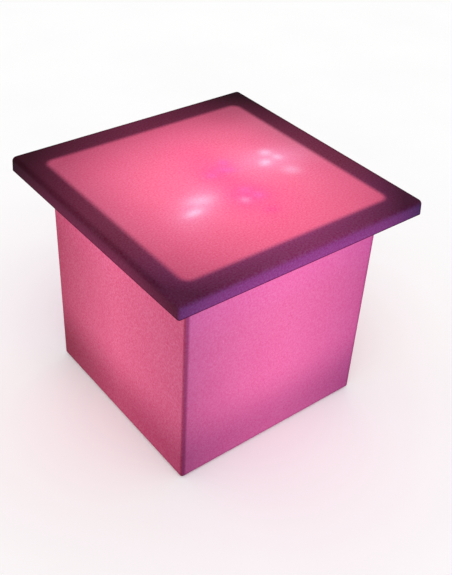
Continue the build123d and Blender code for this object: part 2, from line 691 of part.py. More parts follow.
def cell_offsets():
    """Places of the cells across the battery."""
    middle = (CELL_COUNT - 1) / 2
    return [(i - middle) * CELL_PITCH for i in range(CELL_COUNT)]


def battery_tray():
    """Cross-shaped tray with two saddles that the cells lie in."""
    tray = slab(2 * TRAY_HALF_LENGTH, 2 * TRAY_HALF_WIDTH, TRAY_LOW_Z, TRAY_TOP_Z)
    tray += slab(2 * EAR_REACH, 2 * EAR_HALF_WIDTH, TRAY_LOW_Z, TRAY_TOP_Z)
    tray += slab(STRAP_WIDTH + TRAY_EDGE, 2 * STRAP_FOOT_Y, TRAY_LOW_Z, TRAY_TOP_Z)
    for side in (-1, 1):
        place = (0.0, side * STRAP_SCREW_Y)
        tray += disc(POST_RADIUS, TRAY_TOP_Z - MOULDED_GRIP - TIP_CLEARANCE, TRAY_LOW_Z, place)
        saddle_x = side * (CELL_LENGTH / 2 - SADDLE_INSET)
        saddle_top = TRAY_TOP_Z + SADDLE_HEIGHT
        width = 2 * TRAY_HALF_WIDTH
        tray += slab(SADDLE_THICKNESS, width, TRAY_TOP_Z, saddle_top, (saddle_x, 0.0))
    for y in cell_offsets():
        place = Pos(0, y, CELL_AXIS_Z) * Rot(0, 90, 0)
        tray -= place * Cylinder(CELL_RADIUS + CELL_CLEARANCE, CELL_LENGTH)
    return tray - tray_holes()


def tray_holes():
    """Screw holes of the tray: four to the posts, two for the strap."""
    holes = Part()
    for place in square_points(POST_X, POST_Y):
        hole = M3.radius + HOLE_CLEARANCE
        holes += disc(hole, TRAY_LOW_Z - OVERCUT, TRAY_TOP_Z + OVERCUT, place)
    for side in (-1, 1):
        low = TRAY_TOP_Z - MOULDED_GRIP
        thread = M3.radius + THREAD_CLEARANCE
        holes += disc(thread, low, TRAY_TOP_Z + OVERCUT, (0.0, side * STRAP_SCREW_Y))
    return holes


def tray_screws():
    """Screws that hold the tray on the cup's posts."""
    length = TRAY_THICKNESS + MOULDED_GRIP - TIP_CLEARANCE
    places = square_points(POST_X, POST_Y)
    return group(screw_down(M3, length, TRAY_TOP_Z, place) for place in places)


def battery_cells():
    """Three round cells side by side, each with its raised positive end."""
    cells = []
    for y in cell_offsets():
        cell = Cylinder(CELL_RADIUS, CELL_LENGTH)
        for end in (-1, 1):
            middle = end * (CELL_LENGTH + TERMINAL_CAP_HEIGHT) / 2
            cell += Pos(0, 0, middle) * Cylinder(TERMINAL_CAP_RADIUS, TERMINAL_CAP_HEIGHT)
        cells.append(Pos(0, y, CELL_AXIS_Z) * Rot(0, 90, 0) * cell)
    return group(cells)


def cell_links():
    """Metal strips that join the cells' ends."""
    links = []
    low = CELL_AXIS_Z - LINK_HEIGHT / 2
    for side in (-1, 1):
        place = (side * (PACK_HALF_LENGTH - LINK_THICKNESS / 2), 0.0)
        links.append(slab(LINK_THICKNESS, 2 * LINK_HALF_SPAN, low, low + LINK_HEIGHT, place))
    return group(links)


def battery_strap():
    """Bent strap over the cells, with a screwed foot at each end."""
    outer_half = STRAP_HALF_WIDTH + STRAP_THICKNESS
    strap = slab(STRAP_WIDTH, 2 * outer_half, TRAY_TOP_Z, STRAP_TOP_Z)
    bend_limit = min(STRAP_BEND_RADIUS, FILLET_LIMIT * outer_half)
    strap = fillet(strap.edges().filter_by(Axis.X).group_by(Axis.Z)[-1], bend_limit)
    strap -= slab(STRAP_WIDTH + OVERCUT, 2 * STRAP_HALF_WIDTH, TRAY_TOP_Z - OVERCUT, STRAP_LOW_Z)
    foot_top = TRAY_TOP_Z + STRAP_THICKNESS
    for side in (-1, 1):
        middle_y = side * (STRAP_HALF_WIDTH + STRAP_FOOT_Y) / 2
        foot_length = STRAP_FOOT_Y - STRAP_HALF_WIDTH
        strap += slab(STRAP_WIDTH, foot_length, TRAY_TOP_Z, foot_top, (0.0, middle_y))
        place = (0.0, side * STRAP_SCREW_Y)
        hole = M3.radius + HOLE_CLEARANCE
        strap -= disc(hole, TRAY_TOP_Z - OVERCUT, foot_top + OVERCUT, place)
    return strap


def strap_screws():
    """Screws of the battery strap."""
    seat = TRAY_TOP_Z + STRAP_THICKNESS
    length = STRAP_THICKNESS + MOULDED_GRIP - TIP_CLEARANCE
    places = [(0.0, side * STRAP_SCREW_Y) for side in (-1, 1)]
    return group(screw_down(M3, length, seat, place) for place in places)


def lead(points):
    """A round wire along straight runs joined by one arc."""
    shorter = min((points[1] - points[0]).length, (points[2] - points[1]).length)
    path = FilletPolyline(*points, radius=LEAD_BEND_SHARE * shorter)
    start = Plane(origin=points[0], z_dir=points[1] - points[0])
    return sweep(start * Circle(LEAD_RADIUS), path)


def battery_leads():
    """Leads from the cells' links down to the control board."""
    leads = []
    for side in (-1, 1):
        start = Vector(side * PACK_HALF_LENGTH, LEAD_Y, CELL_AXIS_Z)
        bend = Vector(side * LEAD_X, LEAD_Y, CELL_AXIS_Z)
        end = Vector(side * LEAD_X, LEAD_Y, TERMINAL_TOP_Z)
        leads.append(lead([start, bend, end]))
    return group(leads)


def led_leads():
    """Leads from the control board up through the spreader to the light board."""
    leads = []
    for side in (-1, 1):
        start = Vector(side * LEAD_X, -LEAD_Y, TERMINAL_TOP_Z)
        bend = Vector(side * LEAD_X, -LEAD_Y, LED_LEAD_Z)
        end_x = LED_TERMINAL_X + TERMINAL_WIDTH / 2
        end = Vector(side * end_x, -LEAD_Y, LED_LEAD_Z)
        leads.append(lead([start, bend, end]))
    return group(leads)


# Light source


def led_screw_places():
    """Places of the light board's screws."""
    reach = LED_BOARD_RADIUS - LED_SCREW_INSET
    angles = [math.radians(angle) for angle in LED_SCREW_ANGLES]
    return [(reach * math.cos(a), reach * math.sin(a)) for a in angles]


def heat_spreader():
    """Aluminium disc that carries the light board and closes the cup."""
    spreader = disc(CUP_INNER_RADIUS - SPREADER_CLEARANCE, SPREADER_LOW_Z, CUP_RIM_Z)
    low = SPREADER_LOW_Z - OVERCUT
    high = CUP_RIM_Z + OVERCUT
    for place in circle_points(COVER_SCREWS, COVER_SCREW_CIRCLE, COVER_SCREW_ANGLE):
        spreader -= disc(M3.radius + HOLE_CLEARANCE, low, high, place)
    for side in (-1, 1):
        spreader -= disc(LEAD_HOLE_RADIUS, low, high, (side * LEAD_X, -LEAD_Y))
    for place in led_screw_places():
        spreader -= disc(M2.radius + THREAD_CLEARANCE, low, high, place)
    return spreader


def led_board():
    """Round light board on the heat spreader."""
    board = disc(LED_BOARD_RADIUS, CUP_RIM_Z, LED_BOARD_TOP_Z)
    for place in led_screw_places():
        hole = M2.radius + HOLE_CLEARANCE
        board -= disc(hole, CUP_RIM_Z - OVERCUT, LED_BOARD_TOP_Z + OVERCUT, place)
    return board


def led_board_screws():
    """Screws of the light board."""
    length = LED_BOARD_THICKNESS + SPREADER_THICKNESS
    return group(screw_down(M2, length, LED_BOARD_TOP_Z, place) for place in led_screw_places())


def led_packages(radius, angle):
    """Square light packages of two opposite groups."""
    middle_z = LED_BOARD_TOP_Z + LED_HEIGHT / 2
    places = led_places(radius, angle)
    return [Pos(0, 0, middle_z) * place * Box(LED_WIDTH, LED_WIDTH, LED_HEIGHT) for place in places]


def white_leds():
    """White lights, two groups of four."""
    return group(led_packages(WHITE_GROUP_RADIUS, WHITE_GROUP_ANGLE))


def pink_leds():
    """Pink lights, two groups of four."""
    return group(led_packages(PINK_GROUP_RADIUS, PINK_GROUP_ANGLE))


def led_lenses():
    """A clear lens on each light: a short drum under a half ball."""
    lenses = []
    places = led_places(WHITE_GROUP_RADIUS, WHITE_GROUP_ANGLE)
    places += led_places(PINK_GROUP_RADIUS, PINK_GROUP_ANGLE)
    ball = Pos(0, 0, LENS_BASE) * Sphere(LENS_RADIUS)
    lens = ball & disc(LENS_RADIUS, LENS_BASE, LENS_BASE + LENS_RADIUS)
    lens += disc(LENS_RADIUS, 0.0, LENS_BASE)
    for place in places:
        lenses.append(Pos(0, 0, LED_TOP_Z) * place * lens)
    return group(lenses)


NODES = [
    body_shell,
    threaded_inserts,
    rubber_feet,
    foot_screws,
    tabletop,
    vent_plug,
    lamp_housing,
    hatch_gasket,
    hatch_screws,
    cover_seal,
    lamp_cover,
    cover_screws,
    power_button,
    colour_button,
    button_switches,
    charge_socket,
    charge_cover,
    cover_pin,
    charge_light,
    control_board,
    board_screws,
    board_parts,
    lead_terminals,
    battery_tray,
    tray_screws,
    battery_cells,
    cell_links,
    battery_strap,
    strap_screws,
    battery_leads,
    led_leads,
    heat_spreader,
    led_board,
    led_board_screws,
    white_leds,
    pink_leds,
    led_lenses,
]

os.makedirs("parts", exist_ok=True)
for node in NODES:
    export_step(node(), f"parts/{node.__name__}.step")
print("hinge line of the charge cover: y", HINGE_Y, "z", HINGE_Z)
print("hatch underside z", HATCH_LOW_Z, "well ceiling z", CEILING_Z, "well radius", WELL_RADIUS)
print("cup radius", CUP_RADIUS, "lamp cover top z", FLANGE_TOP_Z + COVER_RISE)
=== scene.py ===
import sys
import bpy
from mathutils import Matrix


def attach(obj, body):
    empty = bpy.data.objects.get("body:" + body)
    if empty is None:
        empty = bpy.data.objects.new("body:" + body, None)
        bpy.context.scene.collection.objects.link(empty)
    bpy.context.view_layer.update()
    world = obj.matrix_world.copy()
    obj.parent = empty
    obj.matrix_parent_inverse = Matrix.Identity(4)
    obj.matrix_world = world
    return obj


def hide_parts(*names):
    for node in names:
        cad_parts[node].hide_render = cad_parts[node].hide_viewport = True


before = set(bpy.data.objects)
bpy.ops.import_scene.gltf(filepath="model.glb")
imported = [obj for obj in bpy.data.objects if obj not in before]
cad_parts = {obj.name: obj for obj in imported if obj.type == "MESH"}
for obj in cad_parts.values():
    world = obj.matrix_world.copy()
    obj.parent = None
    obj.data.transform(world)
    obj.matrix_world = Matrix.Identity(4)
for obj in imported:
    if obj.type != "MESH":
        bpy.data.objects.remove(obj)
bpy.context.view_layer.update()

import logging
import math
from dataclasses import dataclass
from enum import Enum
from typing import ClassVar, Optional, Union

import bpy
import numpy as np
from mathutils import Matrix

LOG = logging.getLogger("lounge_table")
MM = 0.001
SHARP_DEGREES = 34.0
Socket = bpy.types.NodeSocket
Triple = tuple[float, float, float]
Colour = tuple[float, float, float]
Span = tuple[float, float]
Profile = list[Span]
Feed = Union["Value", float, Triple]
# Most of the points of a noise have values in this span
MIDDLE: Span = (0.3, 0.7)


def paint(red: int, green: int, blue: int) -> Colour:
    """Turns a display colour into the linear colour that the shaders take.

    Args:
        red, green, blue: Display values from 0 to 255.

    Returns:
        The same colour, linear, from 0 to 1.
    """
    shares = (channel / 255.0 for channel in (red, green, blue))
    return tuple(s / 12.92 if s <= 0.04045 else ((s + 0.055) / 1.055) ** 2.4 for s in shares)


# Shader nodes


class Value:
    """Output of a shader node. One that is a number takes the usual signs of arithmetic."""

    def __init__(self, writer: "NodeWriter", socket: Socket) -> None:
        """Keeps the output and the writer that adds the nodes worked out from it."""
        self.writer = writer
        self.socket = socket

    def __add__(self, other: Feed) -> "Value":
        """The sum of the two."""
        return self.writer.maths("ADD", self, other)

    def __sub__(self, other: Feed) -> "Value":
        """This less the other."""
        return self.writer.maths("SUBTRACT", self, other)

    def __rsub__(self, other: Feed) -> "Value":
        """The other less this."""
        return self.writer.maths("SUBTRACT", other, self)

    def __mul__(self, other: Feed) -> "Value":
        """The product of the two."""
        return self.writer.maths("MULTIPLY", self, other)

    def __truediv__(self, other: Feed) -> "Value":
        """This divided by the other."""
        return self.writer.maths("DIVIDE", self, other)

    def __pow__(self, power: Feed) -> "Value":
        """This to a power."""
        return self.writer.maths("POWER", self, power)

    def __abs__(self) -> "Value":
        """This without its sign."""
        return self.writer.maths("ABSOLUTE", self)

    __radd__ = __add__
    __rmul__ = __mul__


class NodeWriter:
    """Adds shader nodes to one tree and joins their sockets."""

    def __init__(self, tree: bpy.types.NodeTree) -> None:
        """Keeps the tree that the nodes go into."""
        self.tree = tree

    def node(
        self, kind: str, sources: Optional[dict[Union[int, str], Feed]] = None, **settings: object
    ) -> bpy.types.Node:
        """Adds a node, sets its options and feeds its inputs.

        Args:
            kind: Blender's name of the node type.
            sources: What each input takes, by the input's number or name.
            settings: Options of the node, by name.

        Returns:
            The new node.
        """
        made = self.tree.nodes.new(kind)
        for name, setting in settings.items():
            setattr(made, name, setting)
        for name, source in (sources or {}).items():
            self.feed(made.inputs[name], source)
        return made

    def feed(self, socket: Socket, source: Feed) -> None:
        """Links an input to its source, or sets it to a number, a vector or a colour.

        Args:
            socket: The input.
            source: Output of another node, or a plain value.
        """
        if isinstance(source, Value):
            self.tree.links.new(source.socket, socket)
        elif socket.type == "RGBA":
            socket.default_value = (*source, 1.0)
        else:
            socket.default_value = source

    def value(self, node: bpy.types.Node, output: Union[int, str] = 0) -> Value:
        """One output of a node, by its number or name."""
        return Value(self, node.outputs[output])

    def values(self, node: bpy.types.Node) -> dict[str, Value]:
        """All the outputs of a node, by their names."""
        return {socket.name: Value(self, socket) for socket in node.outputs}

    def put_out(self, shader: bpy.types.Node, kind: str = "ShaderNodeOutputMaterial") -> None:
        """Adds the tree's output node and joins a shader to it."""
        self.node(kind, {"Surface": self.value(shader)})

    def maths(self, operation: str, *sources: Feed) -> Value:
        """One step of arithmetic, by Blender's name of the operation."""
        return self.value(
            self.node("ShaderNodeMath", dict(enumerate(sources)), operation=operation)
        )

    def most(self, first: Feed, second: Feed) -> Value:
        """The larger of two numbers."""
        return self.maths("MAXIMUM", first, second)

    def least(self, first: Feed, second: Feed) -> Value:
        """The smaller of two numbers."""
        return self.maths("MINIMUM", first, second)

    def between(self, share: Value, first: Feed, second: Feed) -> Value:
        """The number that lies a share of the way from the first to the second."""
        return share * (second - first) + first

    def ramp(
        self, value: Feed, low: float, high: float, start: float = 0.0, end: float = 1.0
    ) -> Value:
        """A smooth step: a cubic between two levels, and flat before and after them.

        Args:
            value: The number that the step follows.
            low, high: Where the step begins and ends.
            start, end: The result up to low and from high on.

        Returns:
            The step.
        """
        levels = {"From Min": low, "From Max": high, "To Min": start, "To Max": end}
        step = {"Value": value, **levels}
        made = self.node("ShaderNodeMapRange", step, interpolation_type="SMOOTHSTEP")
        return self.value(made, "Result")

    def fall(self, value: Feed, low: float, high: float) -> Value:
        """A smooth step down: one up to low and zero from high on."""
        return self.ramp(value, low, high, 1.0, 0.0)

    def mix(self, factor: Feed, first: Feed, second: Feed, blend: str = "MIX") -> Value:
        """A colour between two others.

        Args:
            factor: Share of the second colour.
            first, second: The two colours.
            blend: Blender's name of the way that they are mixed.

        Returns:
            The mixed colour.
        """
        sources = {"Factor": factor, 6: first, 7: second}
        made = self.node("ShaderNodeMix", sources, data_type="RGBA", blend_type=blend)
        return self.value(made, 2)

    def tint(self, colour: Feed, share: Feed, factors: Feed) -> Value:
        """A colour times one factor for each channel, taken up by a share from 0 to 1."""
        return self.mix(1.0, colour, self.mix(share, (1.0, 1.0, 1.0), factors), "MULTIPLY")

    def dim(self, colour: Feed, factor: Feed) -> Value:
        """A colour times a number."""
        sources = {0: colour, "Scale": factor}
        return self.value(self.node("ShaderNodeVectorMath", sources, operation="SCALE"))

    def scaled(self, vector: Feed, scale: Triple, offset: Feed) -> Value:
        """A vector times a scale plus an offset, axis by axis."""
        sources = {0: vector, 1: scale, 2: offset}
        return self.value(self.node("ShaderNodeVectorMath", sources, operation="MULTIPLY_ADD"))

    def stretch(self, vector: Value, scale: Triple) -> Value:
        """A pattern's vector, scaled along each axis."""
        return self.value(self.node("ShaderNodeMapping", {"Vector": vector, "Scale": scale}))

    def point(self) -> Value:
        """The point on the piece, in metres in the table's own frame."""
        return self.value(self.node("ShaderNodeTexCoord"), "Object")

    def axes(self, vector: Value) -> tuple[Value, Value, Value]:
        """The three parts of a vector."""
        made = self.node("ShaderNodeSeparateXYZ", {0: vector})
        return self.value(made, 0), self.value(made, 1), self.value(made, 2)

    def noise(self, vector: Value, scale: Feed, detail: float = 2.0) -> Value:
        """Smooth random values around one half, with a scale of waves in a metre."""
        sources = {"Vector": vector, "Scale": scale, "Detail": detail}
        return self.value(self.node("ShaderNodeTexNoise", sources), "Fac")


def emptied(owner: Union[bpy.types.Material, bpy.types.World]) -> NodeWriter:
    """Turns on the nodes of a material or a world and clears them.

    Args:
        owner: The material or the world.

    Returns:
        A writer on its tree.
    """
    owner.use_nodes = True
    owner.node_tree.nodes.clear()
    return NodeWriter(owner.node_tree)


class Place:
    """A point on a piece and its parts, in metres in the table's own frame."""

    def __init__(self, writer: NodeWriter) -> None:
        """Reads the point. Its reach is the larger of |x| and |y|, and beside the smaller.

        Args:
            writer: Writer on the material's tree.
        """
        self.point = writer.point()
        self.x, self.y, self.z = writer.axes(self.point)
        self.across, self.along = abs(self.x), abs(self.y)
        self.reach = writer.most(self.across, self.along)
        self.beside = writer.least(self.across, self.along)


class SharedEffect:
    """A shader node group that several finishes use, built once."""

    title: ClassVar[str] = ""
    takes: ClassVar[dict[str, str]] = {}
    gives: ClassVar[tuple[str, ...]] = ()

    @classmethod
    def tree(cls) -> bpy.types.NodeTree:
        """The group's node tree, built at its first use.

        Returns:
            The tree, whose inputs have the kinds in takes and whose outputs are numbers.
        """
        found = bpy.data.node_groups.get(cls.title)
        if found:
            return found
        tree = bpy.data.node_groups.new(cls.title, "ShaderNodeTree")
        for name, kind in cls.takes.items():
            tree.interface.new_socket(name, in_out="INPUT", socket_type=f"NodeSocket{kind}")
        for name in cls.gives:
            tree.interface.new_socket(name, in_out="OUTPUT", socket_type="NodeSocketFloat")
        writer = NodeWriter(tree)
        taken = writer.values(writer.node("NodeGroupInput"))
        writer.node("NodeGroupOutput", cls.write(writer, taken))
        return tree

    @classmethod
    def write(cls, writer: NodeWriter, taken: dict[str, Value]) -> dict[str, Value]:
        """Writes the group's nodes.

        Args:
            writer: Writer on the group's tree.
            taken: The group's inputs.

        Returns:
            A source for each of the group's outputs.
        """
        raise NotImplementedError

    @classmethod
    def use(cls, writer: NodeWriter, **sources: Feed) -> dict[str, Value]:
        """Places the group in a material, with a source for each input, and gives its outputs."""
        return writer.values(writer.node("ShaderNodeGroup", sources, node_tree=cls.tree()))


class MouldedGrain(SharedEffect):
    """Fine pebbled grain of a moulded plastic, over faint large clouds."""

    title = "moulded_grain"
    takes = {"Place": "Vector", "Pebbles": "Float", "Contrast": "Float", "Clouds": "Float"}
    gives = ("Tone", "Height")
    finer_scale: ClassVar[float] = 2.6
    finer_share: ClassVar[float] = 0.35
    cloud_waves: ClassVar[float] = 14.0

    @classmethod
    def write(cls, writer: NodeWriter, taken: dict[str, Value]) -> dict[str, Value]:
        """Tone is 1 plus contrast times fine noise plus clouds times wide noise.

        Args:
            writer: Writer on the group's tree.
            taken: The group's inputs.

        Returns:
            The tone, and the fine noise as a height around one half.
        """
        place, pebbles = taken["Place"], taken["Pebbles"]
        finer = writer.noise(place, pebbles * cls.finer_scale, 1.0)
        height = writer.noise(place, pebbles) * (1.0 - cls.finer_share) + finer * cls.finer_share
        cloud = writer.noise(place, cls.cloud_waves) - 0.5
        tone = (height - 0.5) * taken["Contrast"] + 1.0 + cloud * taken["Clouds"]
        return {"Tone": tone, "Height": height}


class RoundedSquareMask(SharedEffect):
    """One inside an upright prism with a rounded square base, fading out at its border."""

    title = "rounded_square_mask"
    takes = {"Place": "Vector", "Half": "Float", "Corner": "Float", "Blur": "Float"}
    gives = ("Mask", "Depth")

    @classmethod
    def write(cls, writer: NodeWriter, taken: dict[str, Value]) -> dict[str, Value]:
        """Depth is the corner's radius less the signed distance from the square core.

        Args:
            writer: Writer on the group's tree.
            taken: The group's inputs.

        Returns:
            The depth inwards from the border, and a ramp over the blur to each side of it.
        """
        x, y, _ = writer.axes(taken["Place"])
        core = taken["Half"] - taken["Corner"]
        past_x, past_y = abs(x) - core, abs(y) - core
        out_x, out_y = writer.most(past_x, 0.0), writer.most(past_y, 0.0)
        outside = writer.maths("SQRT", out_x * out_x + out_y * out_y)
        inside = writer.least(writer.most(past_x, past_y), 0.0)
        depth = taken["Corner"] - (outside + inside)
        return {"Mask": writer.ramp(depth / taken["Blur"], -1.0, 1.0), "Depth": depth}


class LightPool(SharedEffect):
    """Soft oval pool of light on the top, with a Gaussian fall-off."""

    title = "light_pool"
    takes = {
        "Place": "Vector", "X": "Float", "Y": "Float", "Turn": "Float", "Long": "Float",
        "Wide": "Float",
    }
    gives = ("Light",)

    @classmethod
    def write(cls, writer: NodeWriter, taken: dict[str, Value]) -> dict[str, Value]:
        """Light is e to minus (u over long) squared minus (v over wide) squared.

        u and v are the offsets from the middle, turned by the pool's angle.

        Args:
            writer: Writer on the group's tree.
            taken: The group's inputs.

        Returns:
            The light, from 0 to 1.
        """
        x, y, _ = writer.axes(taken["Place"])
        dx, dy = x - taken["X"], y - taken["Y"]
        cosine, sine = (writer.maths(name, taken["Turn"]) for name in ("COSINE", "SINE"))
        u = (dx * cosine + dy * sine) / taken["Long"]
        v = (dy * cosine - dx * sine) / taken["Wide"]
        return {"Light": writer.maths("EXPONENT", (u * u + v * v) * -1.0)}


class DustSpecks(SharedEffect):
    """Sparse round specks on a random few of many small cells."""

    title = "dust_specks"
    takes = {"Place": "Vector", "Cells": "Float", "Share": "Float", "Size": "Float"}
    gives = ("Mask",)
    solid_part: ClassVar[float] = 0.4

    @classmethod
    def write(cls, writer: NodeWriter, taken: dict[str, Value]) -> dict[str, Value]:
        """A cell is chosen by its random colour, and its speck is a ramp on the distance.

        Args:
            writer: Writer on the group's tree.
            taken: The group's inputs.

        Returns:
            The mask, one on the specks.
        """
        sources = {"Vector": taken["Place"], "Scale": taken["Cells"]}
        cells = writer.values(writer.node("ShaderNodeTexVoronoi", sources))
        draw, _, _ = writer.axes(cells["Color"])
        chosen = writer.maths("LESS_THAN", draw, taken["Share"])
        speck = writer.fall(cells["Distance"] / taken["Size"], cls.solid_part, 1.0)
        return {"Mask": chosen * speck}


class HandlingMarks(SharedEffect):
    """Faint short scuffs where hands and things rub."""

    title = "handling_marks"
    takes = {"Place": "Vector", "Amount": "Float"}
    gives = ("Mask",)
    streak_stretch: ClassVar[Triple] = (1.0, 0.12, 0.5)
    streak_waves: ClassVar[float] = 160.0
    streak_crests: ClassVar[Span] = (0.60, 0.72)
    patch_waves: ClassVar[float] = 9.0
    patch_crests: ClassVar[Span] = (0.46, 0.66)

    @classmethod
    def write(cls, writer: NodeWriter, taken: dict[str, Value]) -> dict[str, Value]:
        """The crests of a noise stretched one way, kept where a wide noise is high.

        Args:
            writer: Writer on the group's tree.
            taken: The group's inputs.

        Returns:
            The mask, up to the amount on the scuffs.
        """
        streaked = writer.stretch(taken["Place"], cls.streak_stretch)
        lines = writer.ramp(writer.noise(streaked, cls.streak_waves, 4.0), *cls.streak_crests)
        patches = writer.noise(taken["Place"], cls.patch_waves, 1.0)
        return {"Mask": lines * writer.ramp(patches, *cls.patch_crests) * taken["Amount"]}


class DrawnMetal(SharedEffect):
    """Fine parallel lines of a brushed, drawn or turned metal."""

    title = "drawn_metal"
    takes = {"Place": "Vector", "Lines": "Float"}
    gives = ("Tone", "Height", "Tarnish")
    tones: ClassVar[Span] = (0.88, 1.06)
    patch_waves: ClassVar[float] = 110.0
    patch_crests: ClassVar[Span] = (0.5, 0.75)

    @classmethod
    def write(cls, writer: NodeWriter, taken: dict[str, Value]) -> dict[str, Value]:
        """Tone and height follow a noise on the stretched place, and tarnish a wide one.

        Args:
            writer: Writer on the group's tree.
            taken: The group's inputs.

        Returns:
            The lines' tone and height, and the share of tarnish.
        """
        lines = writer.noise(taken["Place"], taken["Lines"], 3.0)
        patches = writer.noise(taken["Place"], cls.patch_waves, 3.0)
        return {
            "Tone": writer.ramp(lines, *MIDDLE, *cls.tones),
            "Height": lines,
            "Tarnish": writer.ramp(patches, *cls.patch_crests),
        }


# Finishes


class Sheen(Enum):
    """How widely a surface scatters what it reflects, as a roughness."""

    DULL = 0.82
    MATTE = 0.62
    SATIN = 0.42
    GLOSS = 0.2


class Grain(Enum):
    """The way that a metal's fine lines run, as the stretch along each axis."""

    ALONG_X = (0.04, 1.0, 1.0)
    ALONG_Z = (1.0, 1.0, 0.04)
    EVEN = (1.0, 1.0, 1.0)


@dataclass(frozen=True)
class Finish:
    """The look of one of the table's materials.

    Attributes:
        slot: Material slot of the record that this finish belongs to.
        colour: Linear base colour.
        sheen: How widely it scatters reflections.
        smoother, rougher: How far its roughness goes below and above the sheen's.
        rough_heights: Heights of the surface between which the roughness rises.
    """

    slot: str
    colour: Colour
    sheen: Sheen
    smoother: ClassVar[float] = 0.0
    rougher: ClassVar[float] = 0.1
    rough_heights: ClassVar[Span] = MIDDLE

    def material(self) -> bpy.types.Material:
        """The finish as a material, built at its first use.

        Returns:
            The material.
        """
        title = f"{self.slot}_finish"
        found = bpy.data.materials.get(title)
        if found:
            return found
        made = bpy.data.materials.new(title)
        writer = emptied(made)
        writer.put_out(writer.node("ShaderNodeBsdfPrincipled", self.surface(writer)))
        return made

    def surface(self, writer: NodeWriter) -> dict[str, Feed]:
        """Writes the finish's own nodes.

        Args:
            writer: Writer on the material's tree.

        Returns:
            What the inputs of the material's Principled BSDF take, by name.
        """
        raise NotImplementedError

    def roughness(self, writer: NodeWriter, height: Value) -> Value:
        """Roughness around the sheen's, higher where the surface is higher."""
        low, high = self.sheen.value - self.smoother, self.sheen.value + self.rougher
        return writer.ramp(height, *self.rough_heights, low, high)

    def relief(self, writer: NodeWriter, height: Value, depth: float) -> Value:
        """Normal of a surface that is raised by its height times a depth in metres."""
        return writer.value(writer.node("ShaderNodeBump", {"Distance": depth, "Height": height}))


@dataclass(frozen=True)
class Moulded(Finish):
    """Moulded plastic or rubber with a fine grain, specks of dust and rubbed places.

    Attributes:
        pebbles: Grain waves in a metre.
        contrast: How much the grain shows in the colour.
        depth: Height of the grain in metres.
        rubbed: How much the rubbed places are lightened.
    """

    pebbles: float = 900.0
    contrast: float = 0.10
    depth: float = 0.00006
    rubbed: float = 0.25
    smoother: ClassVar[float] = 0.05
    rougher: ClassVar[float] = 0.05
    dust: ClassVar[Colour] = (0.22, 0.20, 0.20)
    dust_share: ClassVar[float] = 0.35
    rubbed_kept: ClassVar[float] = 0.6
    rubbed_added: ClassVar[float] = 0.3
    rubbed_roughness: ClassVar[float] = 0.2

    def surface(self, writer: NodeWriter) -> dict[str, Feed]:
        """The base colour times the grain's tone, with rubbed places and specks of dust.

        The colour of the rubbed places is rubbed_kept times the base colour plus
        rubbed_added.

        Args:
            writer: Writer on the material's tree.

        Returns:
            What the inputs of the material's Principled BSDF take, by name.
        """
        place = writer.point()
        grain = MouldedGrain.use(
            writer, Place=place, Pebbles=self.pebbles, Contrast=self.contrast, Clouds=0.12
        )
        marks = HandlingMarks.use(writer, Place=place, Amount=self.rubbed)
        dust = DustSpecks.use(writer, Place=place, Cells=320.0, Share=0.03, Size=0.28)
        paler = tuple(self.rubbed_kept * part + self.rubbed_added for part in self.colour)
        colour = writer.mix(marks["Mask"], writer.dim(self.colour, grain["Tone"]), paler)
        roughness = self.roughness(writer, grain["Height"])
        return {
            "Base Color": writer.mix(dust["Mask"] * self.dust_share, colour, self.dust),
            "Roughness": roughness + marks["Mask"] * self.rubbed_roughness,
            "Normal": self.relief(writer, grain["Height"], self.depth),
        }


@dataclass(frozen=True)
class Metal(Finish):
    """Brushed, drawn or turned metal with slight tarnish.

    Attributes:
        grain: The way that its lines run.
        lines: Lines in a metre.
    """

    grain: Grain = Grain.EVEN
    lines: float = 1400.0
    smoother: ClassVar[float] = 0.08
    rough_heights: ClassVar[Span] = (0.25, 0.75)
    tarnish: ClassVar[Colour] = (0.30, 0.28, 0.26)
    tarnish_share: ClassVar[float] = 0.3
    depth: ClassVar[float] = 0.00003

    def surface(self, writer: NodeWriter) -> dict[str, Feed]:
        """The metal's colour times the tone of its lines, darker where tarnished.

        Args:
            writer: Writer on the material's tree.

        Returns:
            What the inputs of the material's Principled BSDF take, by name.
        """
        place = writer.stretch(writer.point(), self.grain.value)
        drawn = DrawnMetal.use(writer, Place=place, Lines=self.lines)
        colour = writer.dim(self.colour, drawn["Tone"])
        return {
            "Base Color": writer.mix(drawn["Tarnish"] * self.tarnish_share, colour, self.tarnish),
            "Metallic": 1.0,
            "Roughness": self.roughness(writer, drawn["Height"]),
            "Normal": self.relief(writer, drawn["Height"], self.depth),
        }


@dataclass(frozen=True)
class Laminate(Finish):
    """Lacquered circuit board with lines of copper under the lacquer. Sizes are in metres."""

    track_length: ClassVar[float] = 0.011
    track_pitch: ClassVar[float] = 0.0024
    track_width: ClassVar[float] = 0.0003
    lacquer_share: ClassVar[float] = 0.55
    copper: ClassVar[Colour] = (0.10, 0.16, 0.05)
    rougher: ClassVar[float] = 0.14
    depth: ClassVar[float] = 0.00004

    def surface(self, writer: NodeWriter) -> dict[str, Feed]:
        """Lacquer over a brick pattern whose joints are the copper lines.

        The lines have lacquer_share times the lacquer's colour plus copper.

        Args:
            writer: Writer on the material's tree.

        Returns:
            What the inputs of the material's Principled BSDF take, by name.
        """
        place = writer.point()
        sources = {
            "Vector": place, "Scale": 1.0, "Brick Width": self.track_length,
            "Row Height": self.track_pitch, "Mortar Size": self.track_width,
        }
        lines = writer.value(writer.node("ShaderNodeTexBrick", sources), "Fac")
        grain = MouldedGrain.use(writer, Place=place, Pebbles=1600.0, Contrast=0.12, Clouds=0.3)
        covered = tuple(self.lacquer_share * c + m for c, m in zip(self.colour, self.copper))
        return {
            "Base Color": writer.dim(writer.mix(lines, self.colour, covered), grain["Tone"]),
            "Roughness": self.roughness(writer, grain["Height"]),
            "Normal": self.relief(writer, lines, self.depth),
        }


